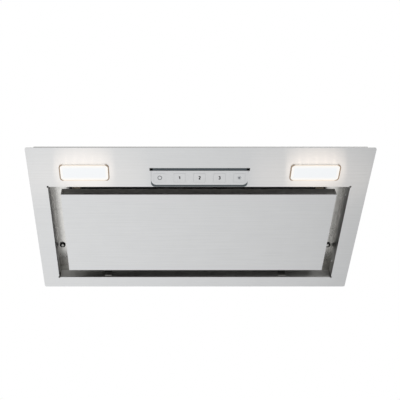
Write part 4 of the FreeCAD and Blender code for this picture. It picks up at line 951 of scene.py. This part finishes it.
@dataclass
class ControlBlock(SubAssembly):
    """The tilted control block with five printed keys. A digit's lesser sizes are in radii of its bowls."""

    WEAR: ClassVar[Coats] = {
        Finishes.SILVER_PLASTIC: ["control_face", "key_power", "key_speed_1", "key_speed_2", "key_speed_3",
                                  "key_light"],
        Finishes.DARK_BASE_PLASTIC: ["control_base"],
        Finishes.BLACK_PLASTIC: ["control_cover"],
        Finishes.CIRCUIT_BOARD: ["control_board"],
    }
    print_gauge: float = 0.1
    print_bed: float = 0.04
    digit_height: float = 4.2
    digit_stroke: float = 1.6
    flag_fall: float = 0.7
    stem_shift: float = 0.2
    foot_reach: float = 1.2
    bowl_of_two: tuple[float, float] = (165, -40)
    upper_bowl: tuple[float, float] = (150, -90)
    lower_bowl: tuple[float, float] = (90, -150)
    arc_steps: int = 14
    stroke_roundness: int = 3
    ring_radius: float = 3.4
    ring_stroke: float = 1.0
    ring_steps: int = 48
    sun_radius: float = 1.8
    sun_facets: int = 24
    ray_start: float = 2.3
    ray_end: float = 3.2
    ray_width: float = 0.7
    rays: int = 8

    @property
    def bowl(self) -> float:
        """Give the radius of a digit's bowls, in millimetres."""
        return self.digit_height / 4

    def arc(self, rise: float, start: float, end: float) -> list[tuple[float, float]]:
        """Follow one bowl of a digit.

        Args:
            rise: Height of the bowl's centre, in bowl radii.
            start: Angle at which the stroke starts, in degrees.
            end: Angle at which it ends.
        Returns:
            The points of the stroke, in millimetres.
        """
        turns = [math.radians(start + (end - start) * step / self.arc_steps)
                 for step in range(self.arc_steps + 1)]
        return [(self.bowl * math.cos(turn), self.bowl * (rise + math.sin(turn))) for turn in turns]

    def strokes(self, text: str) -> list[list[tuple[float, float]]]:
        """Give the strokes of a digit, centred on the origin.

        Args:
            text: The digit, from 1 to 3.
        Returns:
            The points of each stroke, in millimetres.
        """
        radius, half = self.bowl, self.digit_height / 2
        flag, heel = (-radius, half - self.flag_fall * radius), (-radius, -half)
        top, foot = (self.stem_shift * radius, half), (self.stem_shift * radius, -half)
        return {
            "1": [[flag, top], [top, foot]],
            "2": [[*self.arc(1, *self.bowl_of_two), heel], [heel, (self.foot_reach * radius, -half)]],
            "3": [self.arc(1, *self.upper_bowl), self.arc(-1, *self.lower_bowl)],
        }[text]

    def digit(self, text: str) -> Shape:
        """Draw a bold digit in even strokes.

        Args:
            text: The digit, from 1 to 3.
        Returns:
            Its shape, in millimetres.
        """
        curve = bpy.data.curves.new("digit_" + text, "CURVE")
        curve.dimensions = "3D"
        curve.bevel_depth = self.digit_stroke / 2
        curve.bevel_resolution = self.stroke_roundness
        curve.use_fill_caps = True
        for stroke in self.strokes(text):
            line = curve.splines.new("POLY")
            line.points.add(len(stroke) - 1)
            for point, (x, y) in zip(line.points, stroke):
                point.co = (x, y, 0, 1)
        item = place(curve.name, curve)
        bpy.context.view_layer.update()
        shape = evaluated_shape(item)
        bmesh.ops.remove_doubles(shape, verts=shape.verts, dist=WELD)
        shape.transform(Matrix.Diagonal((1, 1, 1 / self.digit_stroke, 1)))
        return shape

    def ring(self) -> Shape:
        """Draw the plain ring that means off.

        Returns:
            Its shape, in millimetres.
        """
        shape = bmesh.new()
        inner, outer = self.ring_radius - self.ring_stroke, self.ring_radius
        section = ((inner, -HALF), (outer, -HALF), (outer, HALF), (inner, HALF))
        loops = []
        for step in range(self.ring_steps):
            turn = 2 * math.pi * step / self.ring_steps
            loops.append([shape.verts.new((r * math.cos(turn), r * math.sin(turn), z)) for r, z in section])
        for step, loop in enumerate(loops):
            after = loops[(step + 1) % len(loops)]
            for corner in range(len(section)):
                beyond = (corner + 1) % len(section)
                shape.faces.new((loop[corner], loop[beyond], after[beyond], after[corner]))
        return shape

    def sun(self) -> Shape:
        """Draw a lamp sign: a disc with short rays.

        Returns:
            Its shape, in millimetres.
        """
        shape = bmesh.new()
        bmesh.ops.create_cone(shape, cap_ends=True, segments=self.sun_facets, radius1=self.sun_radius,
                              radius2=self.sun_radius, depth=1)
        out = Matrix.Translation(((self.ray_start + self.ray_end) / 2, 0, 0))
        bar = Matrix.Diagonal((self.ray_end - self.ray_start, self.ray_width, 1, 1))
        for ray in range(self.rays):
            turn = Matrix.Rotation(2 * math.pi * ray / self.rays, 4, "Z")
            bmesh.ops.create_cube(shape, size=1, matrix=turn @ out @ bar)
        return shape

    def build(self) -> None:
        """Print each key's mark on its face, square to the way the key is pressed."""
        marks = [
            KeyMark("key_power_press", "power", Finishes.MID_INK, self.ring),
            KeyMark("key_speed_1_press", "speed_1", Finishes.DARK_INK, lambda: self.digit("1")),
            KeyMark("key_speed_2_press", "speed_2", Finishes.DARK_INK, lambda: self.digit("2")),
            KeyMark("key_speed_3_press", "speed_3", Finishes.DARK_INK, lambda: self.digit("3")),
            KeyMark("key_light_press", "light", Finishes.GREY_INK, self.sun),
        ]
        joints = {joint["name"]: joint for joint in frame["joints"]}
        rise = (self.print_gauge / 2 - self.print_bed) * MM
        for mark in marks:
            joint = joints[mark.joint]
            out = -Vector(joint["axis"]).normalized()
            right = Vector((1, 0, 0))
            turn = Matrix((right, out.cross(right), out)).transposed().to_4x4()
            spot = Matrix.Translation(Vector(joint["pos_m"]) + out * rise)
            shape = mark.draw()
            shape.transform(spot @ turn @ Matrix.Diagonal((MM, MM, self.print_gauge * MM, 1)))
            solid_mesh(f"mark_{mark.label}", shape, mark.finish, joint["child"])


class Casing(SubAssembly):
    """The folded casing, filter deck and blower tower with its clips."""

    WEAR: ClassVar[Coats] = {
        Finishes.GALVANISED_STEEL: ["casing_wrapper", "casing_side_left", "casing_side_right",
                                    "blower_tower", "tower_roof"],
        Finishes.GALVANISED_BRIGHT: ["filter_deck"],
        Finishes.SPRING_STEEL: ["cabinet_clips"],
        Finishes.BLACK_RUBBER: ["deck_washers"],
    }


class GreaseFilter(SubAssembly):
    """The lift-out grease filter and its sliding latch."""

    WEAR: ClassVar[Coats] = {
        Finishes.FILTER_ALUMINIUM: ["filter_frame", "filter_mesh"],
        Finishes.BLACK_PLASTIC: ["filter_latch"],
    }


class Blower(SubAssembly):
    """The scroll, wheel and motor, with the motor's capacitor."""

    WEAR: ClassVar[Coats] = {
        Finishes.GALVANISED_STEEL: ["scroll_wrap", "scroll_side_left", "scroll_side_right",
                                    "motor_bracket"],
        Finishes.BLACK_PLASTIC: ["impeller_wheel"],
        Finishes.MOTOR_STEEL: ["blower_motor"],
        Finishes.PLATED_FASTENERS: ["motor_shaft"],
        Finishes.BLACK_RUBBER: ["motor_grommets"],
        Finishes.CAPACITOR_CASE: ["capacitor"],
        Finishes.SPRING_STEEL: ["capacitor_clip"],
    }


class DuctCollar(SubAssembly):
    """The exhaust collar and its two back-draught flaps."""

    WEAR: ClassVar[Coats] = {
        Finishes.GREY_PLASTIC: ["exhaust_collar", "draught_flap_front", "draught_flap_rear"],
        Finishes.PLATED_FASTENERS: ["flap_pins"],
    }


class Electronics(SubAssembly):
    """The box of the power board, and the gland of the mains lead."""

    WEAR: ClassVar[Coats] = {
        Finishes.BLACK_PLASTIC: ["electronics_box", "electronics_lid", "cable_gland"],
        Finishes.CIRCUIT_BOARD: ["power_board"],
    }


@dataclass(frozen=True)
class SoftBox:
    """One studio lamp, in metres and watts."""

    name: str
    stand: tuple[float, float, float]
    aim: tuple[float, float, float]
    size: float
    power: float


@dataclass(frozen=True)
class Ramp:
    """A smooth change of brightness along X, between two places in metres."""

    start: float
    end: float
    first: float
    last: float


@dataclass
class Studio:
    """Floor, world, lamps and camera: metres, but millimetres for lens and sensor, degrees for pitch."""

    floor_height: float = -1.6
    floor_reach: float = 9.0
    floor_cells: int = 8
    floor_colour: str = "#F1F1EF"
    floor_glow: float = 0.8
    slope: Ramp = Ramp(start=-0.9, end=1.2, first=1.06, last=0.8)
    flank: Ramp = Ramp(start=0.6, end=1.1, first=1.0, last=0.75)
    ambient: float = 0.55
    lens: float = 58.9
    sensor: float = 36.0
    near: float = 0.01
    pitch: float = 142.84
    stand: tuple[float, float, float] = (-0.0578, -0.664, -0.8193)
    shift: float = 0.0963
    boxes: tuple[SoftBox, ...] = (
        SoftBox("key_soft_box", (-1.7, -1.3, -0.5), (0, 0, 0), size=1.4, power=26),
        SoftBox("fill_soft_box", (1.9, -0.9, 0.5), (0, 0, 0.1), size=1.4, power=12),
        SoftBox("top_soft_box", (0.2, 0.9, 1.9), (0, 0, 0.15), size=1.6, power=11),
    )

    @staticmethod
    def seen_directly(tree: Tree) -> Node:
        """Tell the rays that show the backdrop from those that only light the object.

        Args:
            tree: The node tree of the floor or the world.
        Returns:
            A node that gives 1 for camera, glossy and transmission rays.
        """
        path = add_node(tree, "LightPath")
        some = add_node(tree, "Math", {
            0: path.outputs["Is Camera Ray"], 1: path.outputs["Is Glossy Ray"]}, operation="MAXIMUM")
        return add_node(tree, "Math", {0: some, 1: path.outputs["Is Transmission Ray"]}, operation="MAXIMUM")

    def build_world(self) -> None:
        """Make a white world that lights the object less than it shows."""
        world = bpy.data.worlds.new("white_studio")
        world.use_nodes = True
        tree = world.node_tree
        tree.nodes.clear()
        level = add_node(tree, "MapRange", {"Value": self.seen_directly(tree), "To Min": self.ambient})
        glow = add_node(tree, "Background", {"Color": (1, 1, 1, 1), "Strength": level})
        add_node(tree, "OutputWorld", {"Surface": glow})
        bpy.context.scene.world = world

    def floor_paint(self) -> bpy.types.Material:
        """Make the paint of the floor, which the steel sees fall off a little from left to right.

        Returns:
            The material.
        """
        made = bpy.data.materials.new("painted_floor")
        made.use_nodes = True
        tree = made.node_tree
        tree.nodes.clear()
        where = add_node(tree, "TexCoord").outputs["Object"]
        part = add_node(tree, "SeparateXYZ", {"Vector": where})
        falls = [add_node(tree, "MapRange", {
            "Value": part.outputs["X"], "From Min": ramp.start, "From Max": ramp.end,
            "To Min": ramp.first, "To Max": ramp.last}, interpolation_type="SMOOTHSTEP")
            for ramp in (self.slope, self.flank)]
        mirrored = add_node(tree, "Math", {0: falls[0], 1: falls[1]}, operation="MULTIPLY")
        path = add_node(tree, "LightPath")
        # The slope shows only in the steel, and the floor itself is even.
        level = add_node(tree, "Mix", {
            FACTOR: path.outputs["Is Camera Ray"], FLOAT_A: mirrored, FLOAT_B: 1.0}, data_type="FLOAT")
        paint = add_node(tree, "BsdfDiffuse", {"Color": linear(self.floor_colour)})
        glow = add_node(tree, "Emission", {"Strength": level})
        share = add_node(tree, "Math", {
            0: self.seen_directly(tree), 1: self.floor_glow}, operation="MULTIPLY")
        both = add_node(tree, "MixShader", {0: share, 1: paint, 2: glow})
        add_node(tree, "OutputMaterial", {"Surface": both})
        return made

    def build_floor(self) -> None:
        """Lay the pale floor below the hood."""
        shape = bmesh.new()
        bmesh.ops.create_grid(shape, x_segments=self.floor_cells, y_segments=self.floor_cells,
                              size=self.floor_reach, matrix=Matrix.Translation((0, 0, self.floor_height)))
        floor = place("floor", mesh_of("floor", shape))
        floor.data.materials.append(self.floor_paint())

    def build_lamps(self) -> None:
        """Hang the soft boxes round the hood."""
        for box in self.boxes:
            light = bpy.data.lights.new(box.name, "AREA")
            light.size = box.size
            light.energy = box.power
            lamp = place(box.name, light)
            lamp.location = box.stand
            lamp.rotation_euler = (Vector(box.aim) - Vector(box.stand)).to_track_quat("-Z", "Y").to_euler()
            lamp.visible_camera = False

    def build_camera(self) -> None:
        """Set the camera where the photograph was taken from, below and in front."""
        camera = bpy.data.cameras.new("camera")
        camera.sensor_width = self.sensor
        camera.lens = self.lens
        camera.shift_x = self.shift
        camera.clip_start = self.near
        holder = place("camera", camera)
        holder.location = self.stand
        holder.rotation_euler = (math.radians(self.pitch), 0, 0)
        bpy.context.scene.camera = holder

    def build(self) -> None:
        """Build the whole studio."""
        bpy.context.scene.view_settings.view_transform = "Standard"
        self.build_world()
        self.build_floor()
        self.build_lamps()
        self.build_camera()


def main() -> None:
    """Build every sub-assembly and the studio."""
    logging.basicConfig(level=logging.INFO, format="%(name)s: %(message)s")
    Studio().build()
    assemblies: list[SubAssembly] = [
        FacePlate(), SuctionPanel(), Lamp("left", gain=1.0), Lamp("right", gain=1.35), LampStraps(),
        ControlBlock(), Casing(), GreaseFilter(), Blower(), DuctCollar(), Electronics(),
        PanHeadScrews("deck_screws"), PanHeadScrews("casing_screws"), PanHeadScrews("collar_screws"),
    ]
    for assembly in assemblies:
        assembly.build()
        assembly.dress()
        LOG.info("%s is done", type(assembly).__name__)


if __name__ == "__main__":
    main()
